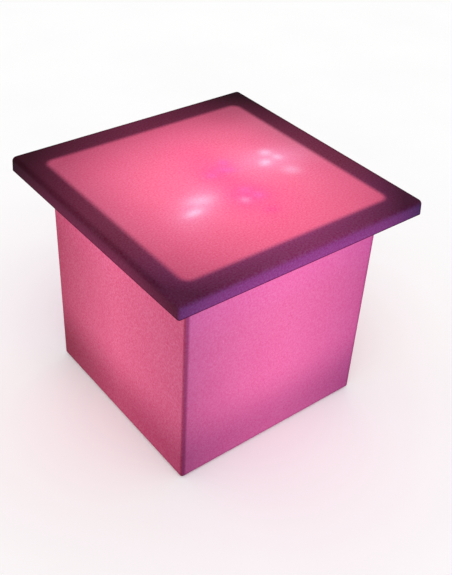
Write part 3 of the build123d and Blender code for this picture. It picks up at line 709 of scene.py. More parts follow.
@dataclass(frozen=True)
class Sleeve(Finish):
    """Shrunk sleeve of a cell or a lead, with faint creases round its ends."""

    crease_stretch: ClassVar[Triple] = (1.0, 0.2, 0.2)
    crease_waves: ClassVar[float] = 260.0
    crease_heights: ClassVar[Span] = (0.35, 0.7)
    crease_shading_tones: ClassVar[Span] = (0.92, 1.05)
    rougher: ClassVar[float] = 0.12
    depth: ClassVar[float] = 0.00008

    def surface(self, writer: NodeWriter) -> dict[str, Feed]:
        """Colour with creases from a noise that is stretched round the sleeve, painted darker in
        their hollows as shade.

        Args:
            writer: Writer on the material's tree.

        Returns:
            What the inputs of the material's Principled BSDF take, by name.
        """
        place = writer.point()
        stretched = writer.stretch(place, self.crease_stretch)
        creases = writer.noise(stretched, self.crease_waves, 3.0)
        grain = MouldedGrain.use(writer, Place=place, Pebbles=1500.0, Contrast=0.06, Clouds=0.15)
        # Painted shade in the crease hollows and a painted highlight on their ridges.
        tone = grain["Tone"] * writer.ramp(creases, *self.crease_heights, *self.crease_shading_tones)
        return {
            "Base Color": writer.dim(self.colour, tone),
            "Roughness": self.roughness(writer, creases),
            "Normal": self.relief(writer, creases, self.depth),
        }


@dataclass(frozen=True)
class Frosted(Finish):
    """Frosted see-through plastic that is lit from behind.

    Attributes:
        glow: Colour of the light that it spreads.
        thinnest: Alpha of its thinnest frosting.
    """

    glow: Colour
    thinnest: float
    frosting: ClassVar[float] = 0.2
    depth: ClassVar[float] = 0.00004

    def surface(self, writer: NodeWriter) -> dict[str, Feed]:
        """Grain drives the alpha, from the thinnest to that plus the frosting.

        Args:
            writer: Writer on the material's tree.

        Returns:
            What the inputs of the material's Principled BSDF take, by name.
        """
        grain = MouldedGrain.use(
            writer, Place=writer.point(), Pebbles=1100.0, Contrast=0.10, Clouds=0.2
        )
        thickest = self.thinnest + self.frosting
        return {
            "Base Color": writer.dim(self.colour, grain["Tone"]),
            "Emission Color": writer.dim(self.glow, grain["Tone"]),
            "Emission Strength": 1.0,
            "Alpha": writer.ramp(grain["Height"], *MIDDLE, self.thinnest, thickest),
            "Roughness": self.roughness(writer, grain["Height"]),
            "Normal": self.relief(writer, grain["Height"], self.depth),
        }


@dataclass(frozen=True)
class LitPackage(Finish):
    """Granular face of a light.

    Attributes:
        glow: Colour of its light.
        strength: How bright it is.
    """

    glow: Colour
    strength: float
    depth: ClassVar[float] = 0.00005

    def surface(self, writer: NodeWriter) -> dict[str, Feed]:
        """Colour and light times a fine granular tone.

        Args:
            writer: Writer on the material's tree.

        Returns:
            What the inputs of the material's Principled BSDF take, by name.
        """
        grain = MouldedGrain.use(
            writer, Place=writer.point(), Pebbles=2400.0, Contrast=0.5, Clouds=0.1
        )
        return {
            "Base Color": writer.dim(self.colour, grain["Tone"]),
            "Emission Color": writer.dim(self.glow, grain["Tone"]),
            "Emission Strength": self.strength,
            "Roughness": self.sheen.value,
            "Normal": self.relief(writer, grain["Height"], self.depth),
        }


@dataclass(frozen=True)
class GlowingMoulding(Finish):
    """Moulding that glows with the light inside it.

    Attributes:
        share: Part of its colour that comes out as light of its own, where it glows.
    """

    share: float
    pebbles: ClassVar[float] = 300.0
    moved_red: ClassVar[Triple] = (-0.3, 0.45, 0.45)
    speck_tone: ClassVar[float] = 0.45
    scuff: ClassVar[float] = 0.06
    scuff_full: ClassVar[float] = 0.1
    scuff_tone: ClassVar[float] = 1.12
    smoother: ClassVar[float] = 0.06
    rougher: ClassVar[float] = 0.06
    specular: ClassVar[float] = 0.02
    depth: ClassVar[float] = 0.0002

    def lit_surface(
        self, writer: NodeWriter, place: Value, colour: Value, contrast: Feed, glow: Value
    ) -> dict[str, Feed]:
        """Gives the colour the stipple of the mould, specks and scuffs, and splits it.

        The stipple adds contrast times the grain times the colour's own tone. A share of its
        red is moved to the other channels, so that it shows as much in them.

        Args:
            writer: Writer on the material's tree.
            place: Point on the piece.
            colour: Colour before the stipple.
            contrast: Strength of the stipple.
            glow: Share of the colour that comes out as light. The rest is base colour.

        Returns:
            What the inputs of the material's Principled BSDF take, by name.
        """
        grain = MouldedGrain.use(
            writer, Place=place, Pebbles=self.pebbles, Contrast=contrast, Clouds=0.05
        )
        specks = DustSpecks.use(writer, Place=place, Cells=60.0, Share=0.02, Size=0.075)
        marks = HandlingMarks.use(writer, Place=place, Amount=self.scuff)
        red, _, _ = writer.axes(colour)
        change = red * (grain["Tone"] - 1.0)
        colour = writer.scaled(change, self.moved_red, writer.dim(colour, grain["Tone"]))
        speck = writer.ramp(specks["Mask"], 0.0, 1.0, 1.0, self.speck_tone)
        scuff = writer.ramp(marks["Mask"], 0.0, self.scuff_full, 1.0, self.scuff_tone)
        colour = writer.dim(writer.dim(colour, speck), scuff)
        return {
            "Base Color": writer.dim(colour, 1.0 - glow),
            "Emission Color": writer.dim(colour, glow),
            "Emission Strength": 1.0,
            "Specular IOR Level": self.specular,
            "Roughness": self.roughness(writer, grain["Height"]),
            "Normal": self.relief(writer, grain["Height"], self.depth),
        }


@dataclass(frozen=True)
class Pool:
    """One soft spot of painted light on the top, or of painted shade where its colour is darker,
    in millimetres and degrees.

    Attributes:
        x, y: Its middle.
        long, wide: Its reach along and across.
        turn: Angle of its long way from +X.
        strength: Share of its colour in the middle.
        colour: Its linear colour.
    """

    x: float
    y: float
    long: float
    wide: float
    turn: float
    strength: float
    colour: Colour


WHITE_SPOT = paint(255, 196, 230)
WHITE_HALO = paint(255, 160, 202)
LILAC_SPOT = paint(253, 112, 184)
PINK_HALO = paint(255, 92, 172)
HOT_PINK = paint(255, 97, 150)


@dataclass(frozen=True)
class LitSquare:
    """The glowing square in the top. Lengths are in metres.

    Attributes:
        half, corner, blur: Half its width, its corners' radius and the blur of its border.
        stretch, shift: Change of the point that it is drawn at, as its border lies under
            the thickness of the skin.
        border: Colour at its border.
        fade_reach, fade_power: The border colour's share grows with a power of the distance
            from each middle line, up to this reach.
        fades_x, fades_y: That share at the reach, to the low and to the high side.
        fades_both: Further share where both of them meet.
        pools: Spots of light over the lamp's groups of lights, and patches of painted light and
        shade near the edges.
    """

    half: float = 0.2075
    corner: float = 0.016
    blur: float = 0.0070
    stretch: Triple = (1.0, 1.01, 1.0)
    shift: Triple = (0.0040, 0.0061, 0.0)
    border: Colour = paint(180, 74, 106)
    fade_reach: float = 0.182
    fade_power: float = 1.8
    fades_x: Span = (0.48, 0.36)
    fades_y: Span = (0.36, 0.66)
    fades_both: float = 0.5
    pools: tuple[Pool, ...] = (
        # The first four: painted shade near the back right corner, and painted light near the
        # edges and on the rim.
        Pool(200.0, 195.0, 75.0, 55.0, 0.0, 0.55, paint(164, 72, 100)),
        Pool(232.0, 50.0, 62.0, 120.0, 0.0, 0.6, paint(182, 108, 132)),
        Pool(-235.0, 40.0, 60.0, 130.0, 0.0, 0.35, paint(180, 95, 124)),
        Pool(20.0, -190.0, 120.0, 60.0, 0.0, 0.4, paint(255, 105, 144)),
        Pool(6.0, -22.0, 42.0, 120.0, -6.0, 0.88, HOT_PINK),
        Pool(40.0, -95.0, 40.0, 60.0, 20.0, 0.45, HOT_PINK),
        Pool(120.0, -2.0, 62.0, 40.0, -14.0, 0.62, WHITE_HALO),
        Pool(-72.0, -56.0, 58.0, 30.0, 32.0, 0.66, WHITE_HALO),
        Pool(28.0, 16.0, 30.0, 18.0, 10.0, 0.45, PINK_HALO),
        Pool(16.0, -74.0, 30.0, 26.0, 0.0, 0.45, PINK_HALO),
        Pool(108.0, -7.0, 13.0, 9.5, 20.0, 0.95, WHITE_SPOT),
        Pool(130.0, 20.0, 11.5, 10.5, 8.0, 0.8, WHITE_SPOT),
        Pool(138.0, -3.0, 9.5, 10.0, 10.0, 0.72, WHITE_SPOT),
        Pool(130.0, -51.0, 16.0, 14.0, -35.0, 0.44, WHITE_SPOT),
        Pool(-92.0, -70.0, 17.0, 9.0, 8.0, 0.86, WHITE_SPOT),
        Pool(-62.0, -46.0, 22.0, 14.0, -10.0, 0.6, WHITE_SPOT),
        Pool(45.0, 33.0, 10.0, 9.0, 40.0, 0.75, LILAC_SPOT),
        Pool(36.0, 9.0, 16.0, 8.5, -30.0, 0.8, LILAC_SPOT),
        Pool(1.0, 8.0, 10.0, 8.5, 10.0, 0.7, LILAC_SPOT),
        Pool(1.0, -84.0, 9.0, 9.5, -25.0, 0.8, paint(255, 148, 196)),
        Pool(29.0, -84.0, 8.5, 9.0, 0.0, 0.8, LILAC_SPOT),
        Pool(20.0, -59.0, 10.0, 9.0, 20.0, 0.6, LILAC_SPOT),
        Pool(19.0, -130.0, 16.0, 12.0, 0.0, 0.55, paint(255, 84, 152)),
    )

    def mask(self, writer: NodeWriter, at: Place) -> dict[str, Value]:
        """Mask of the square, and the depth inwards from its border."""
        place = writer.scaled(at.point, self.stretch, self.shift)
        sizes = {"Half": self.half, "Corner": self.corner, "Blur": self.blur}
        return RoundedSquareMask.use(writer, Place=place, **sizes)

    def fade(self, writer: NodeWriter, part: Value, shares: Span) -> Value:
        """Share of the border colour along one axis.

        Args:
            writer: Writer on the material's tree.
            part: x or y of the point.
            shares: The share at the reach, to the low and to the high side.

        Returns:
            Each side's share times (distance over reach) to the fade's power.
        """
        behind = writer.most(part * -1.0, 0.0) / self.fade_reach
        ahead = writer.most(part, 0.0) / self.fade_reach
        return behind**self.fade_power * shares[0] + ahead**self.fade_power * shares[1]

    def colour(self, writer: NodeWriter, at: Place, centre: Colour) -> Value:
        """Colour of the square: centre colour, border colour and the pools.

        The border's share is 1 - (1 - fade x) (1 - fade y) + fades_both fade x fade y.

        Args:
            writer: Writer on the material's tree.
            at: Place on the top.
            centre: Colour in the middle.

        Returns:
            The colour.
        """
        fade_x = self.fade(writer, at.x, self.fades_x)
        fade_y = self.fade(writer, at.y, self.fades_y)
        share = 1.0 - (1.0 - fade_x) * (1.0 - fade_y) + fade_x * fade_y * self.fades_both
        colour = writer.mix(share, centre, self.border)
        for pool in self.pools:
            light = LightPool.use(
                writer, Place=at.point, X=pool.x * MM, Y=pool.y * MM,
                Turn=math.radians(pool.turn), Long=pool.long * MM, Wide=pool.wide * MM,
            )
            colour = writer.mix(light["Light"] * pool.strength, colour, pool.colour)
        return colour


@dataclass(frozen=True)
class Spill:
    """Light that spills on the rim most strongly a little to the front. Lengths in metres.

    Attributes:
        middle: Where it is strongest, along Y.
        reach: How far it falls by e.
    """

    middle: float = -0.1
    reach: float = 0.06

    def factor(self, writer: NodeWriter, y: Value, height: float) -> Value:
        """One plus a height times e to minus ((y - middle) over reach) squared."""
        way = (y - self.middle) / self.reach
        return writer.maths("EXPONENT", way * way * -1.0) * height + 1.0


@dataclass(frozen=True)
class RimTop:
    """Upper side of the rim, painted dim as shade, with painted violet light at the front. Lengths
    are in metres.

    Attributes:
        back, flank, front: Its colours: a dim plum of painted shade, violet painted light at the
            front.
        back_way, front_way: Places along Y where the back begins and the front ends.
        tone, square_glow, near_reach: Its strength, the painted light added next to the glowing
        square, and how far from it that falls by e.
        corner_way, corner_power: The corners are dimmed with painted shade by the power of
        |x| |y| over this distance squared.
        corner_shade: Share that they lose to that painted shade, and its growth for each metre
        of x and of y.
        rounding, rounding_end: Reach of the outer rounding, and places along Y where its
        painted shade ends at the violet front.
        rounding_shade: Painted shade on the outer rounding, as factors of the colour.
        spill: Height of the swell of the light that spills on it.
    """

    back: Colour = paint(100, 35, 61)
    flank: Colour = paint(108, 42, 67)
    front: Colour = paint(130, 54, 97)
    back_way: Span = (-0.02, 0.18)
    front_way: Span = (-0.235, -0.06)
    tone: float = 0.95
    square_glow: float = 0.42
    near_reach: float = 0.009
    corner_way: float = 0.227
    corner_power: float = 1.6
    corner_shade: Triple = (0.725, 0.285, 0.154)
    rounding: Span = (0.236, 0.249)
    rounding_end: Span = (-0.225, -0.18)
    rounding_shade: Colour = (0.64, 0.54, 0.58)
    spill: float = 0.15

    def colour(self, writer: NodeWriter, at: Place, depth: Value) -> Value:
        """Colour of the rim's top: painted shade, with painted violet light at the front.

        Args:
            writer: Writer on the material's tree.
            at: Place on the top.
            depth: Depth inwards from the glowing square's border, negative on the rim.

        Returns:
            The colour.
        """
        # Rim colours of painted shade, violet at the front as painted light.
        colour = writer.mix(writer.ramp(at.y, *self.back_way), self.flank, self.back)
        colour = writer.mix(writer.fall(at.y, *self.front_way), colour, self.front)
        # Painted light next to the glowing square, and painted shade at the corners.
        near = writer.maths("EXPONENT", writer.least(depth / self.near_reach, 0.0))
        corner = writer.least(abs(at.x * at.y) / self.corner_way**2, 1.0) ** self.corner_power
        loss, loss_x, loss_y = self.corner_shade
        dimming = 1.0 - corner * (at.x * loss_x + at.y * loss_y + loss)
        tone = (near * self.square_glow + self.tone) * dimming
        colour = writer.dim(colour, tone * Spill().factor(writer, at.y, self.spill))
        # Painted shade on the outer rounding of the edge.
        edge = writer.ramp(at.reach, *self.rounding) * writer.ramp(at.y, *self.rounding_end)
        return writer.tint(colour, edge, self.rounding_shade)


@dataclass(frozen=True)
class SlabSide:
    """Upright edge of the top: painted violet light across Y and painted plum shade across X.
    Lengths are in metres.

    Attributes:
        half: Half the top's width.
        middle, left, right: Colours of the edges across Y, in the middle and at the ends:
        painted violet light, dimmer to the ends.
        side_way: Places along X where the left end's colour gives way to the right's.
        along: Colour of the edges across X, a plum of painted shade.
        back_loss, front_loss: Share that the edges across X lose at an end to painted shade,
        and the power of the way to it.
        levels, violet_tones, plum_tones: Two levels, and the strengths at them across Y and
        across X, brighter low down with painted light from the glowing body below.
        spill: Height of the swell of the light that spills on the edges across X.
        blend: Half width of the change between the two at the corners.
        foot, foot_shade: Levels where the painted shade on the edge's foot ends, and that shade.
    """

    half: float = 0.25
    middle: Colour = paint(160, 71, 150)
    left: Colour = paint(110, 55, 117)
    right: Colour = paint(70, 42, 92)
    side_way: Span = (-0.01, 0.01)
    along: Colour = paint(116, 43, 75)
    back_loss: Span = (0.84, 1.2)
    front_loss: Span = (0.42, 2.5)
    levels: Span = (0.414, 0.438)
    violet_tones: Span = (0.93, 0.80)
    plum_tones: Span = (1.02, 0.72)
    spill: float = 0.16
    blend: float = 0.007
    foot: Span = (0.4134, 0.4156)
    foot_shade: Colour = (0.48, 0.12, 0.32)

    def colour(self, writer: NodeWriter, at: Place) -> Value:
        """Colour of the upright edge, in painted light and shade.

        Across Y it changes to its ends by the square of the way along.

        Args:
            writer: Writer on the material's tree.
            at: Place on the top.

        Returns:
            The colour.
        """
        way = at.x / self.half
        # Painted violet light on the edges across Y, dimmer to their ends.
        ends = writer.mix(writer.ramp(at.x, *self.side_way), self.left, self.right)
        violet = writer.mix(way * way, self.middle, ends)
        # Brighter low down: painted light from the glowing body below.
        violet = writer.dim(violet, writer.ramp(at.z, *self.levels, *self.violet_tones))
        # Painted shade on the edges across X, darker to their ends, under spilled light.
        losses = [
            writer.most(at.y / end, 0.0) ** power * loss
            for end, (loss, power) in ((self.half, self.back_loss), (-self.half, self.front_loss))
        ]
        tone = (1.0 - losses[0] - losses[1]) * Spill().factor(writer, at.y, self.spill)
        plum = writer.dim(self.along, tone)
        # Brighter low down: painted light from the glowing body below.
        plum = writer.dim(plum, writer.ramp(at.z, *self.levels, *self.plum_tones))
        facing = writer.ramp(at.along - at.across, -self.blend, self.blend)
        colour = writer.mix(facing, plum, violet)
        # Painted shade along the lower rounding of the edge.
        return writer.tint(colour, writer.fall(at.z, *self.foot), self.foot_shade)


@dataclass(frozen=True)
class TopGlow(GlowingMoulding):
    """Top moulding: a glowing square over the body inside a rim painted dim plum as shade.

    Its colour is that in the middle of the glowing square. Lengths are in metres.

    Attributes:
        square, rim, side: Looks of the glowing square, of the rim's top and of its edge.
        upper: Levels over which the edge's look gives way to that of the upper side.
        underside, underside_top: Colour under the rim, and levels where it ends.
        bounce, least_bounce: Reach over which light from the body fades, and what is left.
        pocket, pocket_reach, pocket_top: Colour inside the pocket, which glows, and where it ends.
        rim_stipple, lit_stipple: Strength of the stipple on the rim and where it glows.
    """

    square: LitSquare = LitSquare()
    rim: RimTop = RimTop()
    side: SlabSide = SlabSide()
    upper: Span = (0.4290, 0.4398)
    underside: Colour = paint(150, 58, 94)
    underside_top: Span = (0.4121, 0.4134)
    bounce: Span = (0.206, 0.2485)
    least_bounce: float = 0.3
    pocket: Colour = paint(255, 132, 172)
    pocket_reach: Span = (0.2040, 0.2052)
    pocket_top: Span = (0.4352, 0.4358)
    rim_stipple: float = 0.95
    lit_stipple: float = 0.50

    def surface(self, writer: NodeWriter) -> dict[str, Feed]:
        """The top's zones, each with its colour, shared between base colour and light.

        Args:
            writer: Writer on the material's tree.

        Returns:
            What the inputs of the material's Principled BSDF take, by name.
        """
        at = Place(writer)
        square = self.square.mask(writer, at)
        upper = writer.ramp(at.z, *self.upper)
        rim = self.rim.colour(writer, at, square["Depth"])
        colour = writer.mix(square["Mask"], rim, self.square.colour(writer, at, self.colour))
        colour = writer.mix(upper, self.side.colour(writer, at), colour)
        bounce = writer.ramp(at.reach, *self.bounce, 1.0, self.least_bounce)
        below = writer.fall(at.z, *self.underside_top)
        colour = writer.mix(below, colour, writer.dim(self.underside, bounce))
        inside = writer.fall(at.reach, *self.pocket_reach) * writer.fall(at.z, *self.pocket_top)
        colour = writer.mix(inside, colour, self.pocket)
        lit = square["Mask"] * upper
        contrast = writer.between(lit, self.rim_stipple, self.lit_stipple)
        glow = writer.most(lit, inside) * self.share
        return self.lit_surface(writer, at.point, colour, contrast, glow)


@dataclass(frozen=True)
class BodyGlow(GlowingMoulding):
    """Body moulding, lit from the lamp low inside it.

    Its colour is that in the middle of the two faces across Y. The tints are factors of
    the colour's channels, painting how the lamp's light falls on the walls. Lengths are in
    metres.

    Attributes:
        half: Half the body's width.
        flank: Colour in the middle of the two faces across X.
        blend: Half width of the change between the faces at the upright edges.
        halves, depth_way: Places where one side's tint gives way to the other's, and places
            along Y where the tints ahead give way to those behind.
        left_low, left_high, left_levels: Tints at the left of the faces across Y, and the
            levels between which one changes to the other.
        right, ahead, behind: Tints at the right of the faces across Y, and at the front and
            the back of the faces across X.
        flank_power, front_power: Powers of the way from the middle line to those tints.
        front_foot, foot_ahead, foot_behind, foot: Tints near the floor across Y and across
            X, and the levels where they end.
        front_head, head_ahead, head_behind, head: The same near the top.
        corner, flank_corner, front_corner, far_corner: Painted shade on the upright edges, where
        it begins on each kind of face, and its share on the edges away from the front left.
        sole, sole_levels: Strength at the lower edge, lowered as painted shade, and the levels
        where it ends.
        inner_low, inner_high, inner_levels: Colours inside, low and high: painted light of the
        lamp, brighter low down.
        inner_way, inner_corner: Where the light falls off to the inner corners, and to what.
        inner_reach, inner_floor: Where the colours inside end.
        lip, lip_reach, lip_levels: Colour of the mouth's lip, painted lighter with the light
        inside, and where it is.
        base, base_reach, base_top, well_reach, well_top: Colour under the base and in the
        well, painted dark as shade, and where they end.
        glow_levels, more_glow: Levels between which more comes out as light, and how much.
        hidden_loss: Share of the light that is lost under the base.
        flank_stipple, front_stipple: Strength of the stipple across X and across Y.
    """

    half: float = 0.201
    flank: Colour = paint(233, 107, 146)
    blend: float = 0.0015
    halves: Span = (-0.01, 0.01)
    depth_way: Span = (-0.19, 0.19)
    left_low: Colour = (0.56, 0.58, 0.62)
    left_high: Colour = (0.62, 0.72, 0.74)
    left_levels: Span = (0.10, 0.31)
    right: Colour = (0.63, 0.585, 0.71)
    ahead: Colour = (0.745, 0.755, 0.79)
    behind: Colour = (0.55, 0.465, 0.465)
    flank_power: float = 1.2
    front_power: float = 1.65
    front_foot: Colour = (0.66, 0.625, 0.71)
    foot_ahead: Colour = (0.65, 0.50, 0.58)
    foot_behind: Colour = (0.56, 0.47, 0.49)
    foot: Span = (0.030, 0.163)
    front_head: Colour = (1.07, 1.07, 1.15)
    head_ahead: Colour = (1.0, 0.96, 0.96)
    head_behind: Colour = (1.14, 1.10, 1.18)
    head: Span = (0.28, 0.36)
    corner: Colour = (0.55, 0.39, 0.48)
    flank_corner: Span = (0.1935, 0.1995)
    front_corner: Span = (0.1905, 0.1970)
    far_corner: float = 0.5
    sole: float = 0.78
    sole_levels: Span = (0.003, 0.012)
    inner_low: Colour = paint(255, 184, 212)
    inner_high: Colour = paint(222, 92, 136)
    inner_levels: Span = (0.05, 0.40)
    inner_way: Span = (0.12, 0.197)
    inner_corner: float = 0.82
    inner_reach: Span = (0.1973, 0.1990)
    inner_floor: Span = (0.0050, 0.0066)
    lip: Colour = paint(255, 172, 202)
    lip_reach: Span = (0.1970, 0.1976)
    lip_levels: Span = (0.4340, 0.4348)
    base: Colour = paint(138, 58, 90)
    base_reach: Span = (0.1935, 0.1965)
    base_top: Span = (0.0040, 0.0056)
    well_reach: Span = (0.0938, 0.0942)
    well_top: Span = (0.0272, 0.0276)
    glow_levels: Span = (0.33, 0.412)
    more_glow: float = 0.14
    hidden_loss: float = 0.8
    flank_stipple: float = 0.75
    front_stipple: float = 0.50

    def surface(self, writer: NodeWriter) -> dict[str, Feed]:
        """The body's zones, each with its colour, shared between base colour and light.

        Args:
            writer: Writer on the material's tree.

        Returns:
            What the inputs of the material's Principled BSDF take, by name.
        """
        at = Place(writer)
        facing = writer.ramp(at.along - at.across, -self.blend, self.blend)
        colour = self.wall(writer, at, facing)
        inner = writer.mix(writer.ramp(at.z, *self.inner_levels), self.inner_low, self.inner_high)
        falloff = writer.ramp(at.beside, *self.inner_way, 1.0, self.inner_corner)
        inside = writer.fall(at.reach, *self.inner_reach) * writer.ramp(at.z, *self.inner_floor)
        colour = writer.mix(inside, colour, writer.dim(inner, falloff))
        # Painted light along the mouth's lip.
        lip = writer.ramp(at.z, *self.lip_levels) * writer.ramp(at.reach, *self.lip_reach)
        colour = writer.mix(lip, colour, self.lip)
        # Painted shade under the base and in the well, which also glow less.
        under = writer.fall(at.reach, *self.base_reach) * writer.fall(at.z, *self.base_top)
        radius = writer.maths("SQRT", at.x * at.x + at.y * at.y)
        well = writer.fall(radius, *self.well_reach) * writer.fall(at.z, *self.well_top)
        hidden = writer.most(under, well)
        colour = writer.mix(hidden, colour, self.base)
        contrast = writer.between(facing, self.flank_stipple, self.front_stipple)
        glow = writer.ramp(at.z, *self.glow_levels, self.share, self.share + self.more_glow)
        glow = glow - hidden * (self.share * self.hidden_loss)
        return self.lit_surface(writer, at.point, colour, contrast, glow)

    def wall(self, writer: NodeWriter, at: Place, facing: Value) -> Value:
        """Colour of the outer wall.

        A face's colour goes to its tint at the sides by a power of the way from its middle
        line, and to other tints near the floor, near the top and on the upright edges. These
        paint the lamp's light on the wall, with painted shade on the upright edges and along
        the lower edge.

        Args:
            writer: Writer on the material's tree.
            at: Place on the body.
            facing: One on the faces across Y, and zero on those across X.

        Returns:
            The colour.
        """
        to_right, to_back = writer.ramp(at.x, *self.halves), writer.ramp(at.y, *self.halves)
        deep = writer.ramp(at.y, *self.depth_way)
        left = writer.mix(writer.ramp(at.z, *self.left_levels), self.left_low, self.left_high)
        flank_sides = writer.mix(to_back, self.ahead, self.behind)
        sides = writer.mix(facing, flank_sides, writer.mix(to_right, left, self.right))
        way = (at.beside / self.half) ** writer.between(facing, self.flank_power, self.front_power)
        colour = writer.tint(writer.mix(facing, self.flank, self.colour), way, sides)
        foot = writer.mix(deep, self.foot_ahead, self.foot_behind)
        foot = writer.mix(facing, foot, self.front_foot)
        colour = writer.tint(colour, writer.fall(at.z, *self.foot), foot)
        head = writer.mix(deep, self.head_ahead, self.head_behind)
        head = writer.mix(facing, head, self.front_head)
        colour = writer.tint(colour, writer.ramp(at.z, *self.head), head)
        # Painted shade on the upright edges, weaker on the far ones.
        flank_corner = writer.ramp(at.beside, *self.flank_corner)
        corner = writer.between(facing, flank_corner, writer.ramp(at.beside, *self.front_corner))
        corner = corner * writer.between(writer.most(to_right, to_back), 1.0, self.far_corner)
        colour = writer.tint(colour, corner, self.corner)
        # Painted shade along the lower edge.
        return writer.dim(colour, writer.ramp(at.z, *self.sole_levels, self.sole, 1.0))


# Meshes


@dataclass(frozen=True)
class RoundedSquare:
    """Outline of a square with rounded corners, as one ring of points.

    Attributes:
        half: Half its width in metres.
        corner: Radius of its corners.
        side_steps: Points along each straight side.
        corner_steps: Points round each corner.
    """

    half: float
    corner: float
    side_steps: int = 44
    corner_steps: int = 9

    def frame(self) -> tuple[np.ndarray, np.ndarray, np.ndarray]:
        """Points and outward normals of the outline, and the way along its sides.

        On a side the point is (half, t) with t from -core to core, and on a corner it is
        the corner's middle plus its radius times (cos a, sin a). Both turn by quarter turns.

        Returns:
            Points and normals, each (count, 2), and for each point its place along its side
            from -1 to 1.
        """
        core = self.half - self.corner
        t = np.linspace(-1.0, 1.0, self.side_steps, endpoint=False)
        side = np.stack([np.full_like(t, self.half), t * core], axis=1)
        side_normal = np.tile([1.0, 0.0], (len(t), 1))
        a = np.linspace(0.0, math.pi / 2, self.corner_steps, endpoint=False)
        round_normal = np.stack([np.cos(a), np.sin(a)], axis=1)
        points = np.concatenate([side, core + self.corner * round_normal])
        normals = np.concatenate([side_normal, round_normal])
        way = np.concatenate([t, np.ones_like(a)])
        quarter = [np.array([[c, s], [-s, c]]) for c, s in ((1, 0), (0, 1), (-1, 0), (0, -1))]
        return (
            np.concatenate([points @ q for q in quarter]),
            np.concatenate([normals @ q for q in quarter]),
            np.tile(way, 4),
        )

    def ring(self, inset: Union[float, np.ndarray], z: float) -> np.ndarray:
        """The outline moved inwards along its normals, at one level.

        Args:
            inset: Distance inwards in metres, one number or one for each point.
            z: Level in metres.

        Returns:
            Points of the ring, (count, 3).
        """
        points, normals, _ = self.frame()
        flat = points - normals * np.reshape(inset, (-1, 1))
        return np.column_stack([flat, np.full(len(flat), z)])

    def circle(self, radius: float, z: float) -> np.ndarray:
        """A circle with one point on each ray from the middle to the outline's points.

        Args:
            radius, z: Radius and level in metres.

        Returns:
            Points of the circle, (count, 3).
        """
        points, _, _ = self.frame()
        flat = points / np.linalg.norm(points, axis=1, keepdims=True) * radius
        return np.column_stack([flat, np.full(len(flat), z)])


def arc(radius: float, start: float, end: float, steps: int) -> np.ndarray:
    """Offsets round part of a circle: radius times (cos a, sin a).

    Args:
        radius: Radius in metres.
        start, end: Angles in degrees.
        steps: Number of points.

    Returns:
        Offsets, (steps, 2).
    """
    a = np.radians(np.linspace(start, end, steps))
    return radius * np.stack([np.cos(a), np.sin(a)], axis=1)


def blend_rings(first: np.ndarray, second: np.ndarray, shares: np.ndarray) -> list[np.ndarray]:
    """Rings between two others: first times (1 - share) plus second times share."""
    return [first * (1.0 - share) + second * share for share in shares]


def placed(name: str, data: bpy.types.ID) -> bpy.types.Object:
    """A new object of the scene with the given mesh, camera or lamp."""
    made = bpy.data.objects.new(name, data)
    bpy.context.scene.collection.objects.link(made)
    return made


def skin(
    name: str,
    rings: list[np.ndarray],
    start: Optional[np.ndarray] = None,
    end: Optional[np.ndarray] = None,
) -> bpy.types.Object:
    """Makes a closed surface through a row of rings.

    The grid is closed round each ring. With start and end its two borders are drawn to
    those points, and without them its last ring is joined to its first.

    Args:
        name: Name of the new object.
        rings: Rings of points, all with the same count, (count, 3).
        start, end: Poles of the surface.

    Returns:
        The new object, with its faces pointing outwards.
    """
    grid = np.stack(rings)
    rows, count = grid.shape[:2]
    index = np.arange(rows * count).reshape(rows, count)
    if start is None:
        index = np.concatenate([index, index[:1]])
    beside = np.roll(index, -1, axis=1)
    quads = np.stack([index[:-1], beside[:-1], beside[1:], index[1:]], axis=-1).reshape(-1, 4)
    vertices = grid.reshape(-1, 3)
    faces = quads.tolist()
    if start is not None:
        vertices = np.concatenate([vertices, [start, end]])
        first, last = rows * count, rows * count + 1
        low = np.stack([np.full(count, first), beside[0], index[0]], axis=-1)
        high = np.stack([np.full(count, last), index[-1], beside[-1]], axis=-1)
        faces += low.tolist() + high.tolist()
    a, b, c, d = (vertices[quads[:, i]] for i in range(4))
    volume = np.einsum("ij,ij->", a, np.cross(b, c)) + np.einsum("ij,ij->", a, np.cross(c, d))
    if start is not None:
        for pole in (low, high):
            p, q, r = (vertices[pole[:, i]] for i in range(3))
            volume += np.einsum("ij,ij->", p, np.cross(q, r))
    if volume < 0:
        faces = [face[::-1] for face in faces]
    mesh = bpy.data.meshes.new(name)
    mesh.from_pydata(vertices.tolist(), [], faces)
    mesh.update()
    return placed(name, mesh)


def turned(
    name: str, profile: Profile, place: Span, count: int = 48, hollow: bool = False
) -> bpy.types.Object:
    """A turned solid: its profile carried round an upright axis.

    Each ring is (radius cos a, radius sin a, level). The ends are closed on the axis, and
    those of a hollow one are joined to each other.

    Args:
        name: Name of the new object.
        profile: Radius and level of each ring in millimetres.
        place: Plan place of the axis in millimetres.
        count: Points on each ring.
        hollow: Whether it is open along its axis.

    Returns:
        The new object.
    """
    a = np.linspace(0.0, 2 * math.pi, count, endpoint=False)
    unit = np.stack([np.cos(a), np.sin(a)], axis=1)
    middle = np.array([*place, 0.0]) * MM
    rings = [
        np.column_stack([unit * radius * MM, np.full(count, z * MM)]) + middle
        for radius, z in profile
    ]
    ends = () if hollow else (profile[0], profile[-1])
    return skin(name, rings, *(middle + [0.0, 0.0, z * MM] for _, z in ends))


def joined(pieces: list[bpy.types.Object]) -> bpy.types.Object:
    """Gathers the meshes of several objects in the first one.

    Args:
        pieces: The objects. Only the first one is left.

    Returns:
        The first one.
    """
    with bpy.context.temp_override(
        active_object=pieces[0], selected_editable_objects=pieces, selected_objects=pieces
    ):
        bpy.ops.object.join()
    return pieces[0]


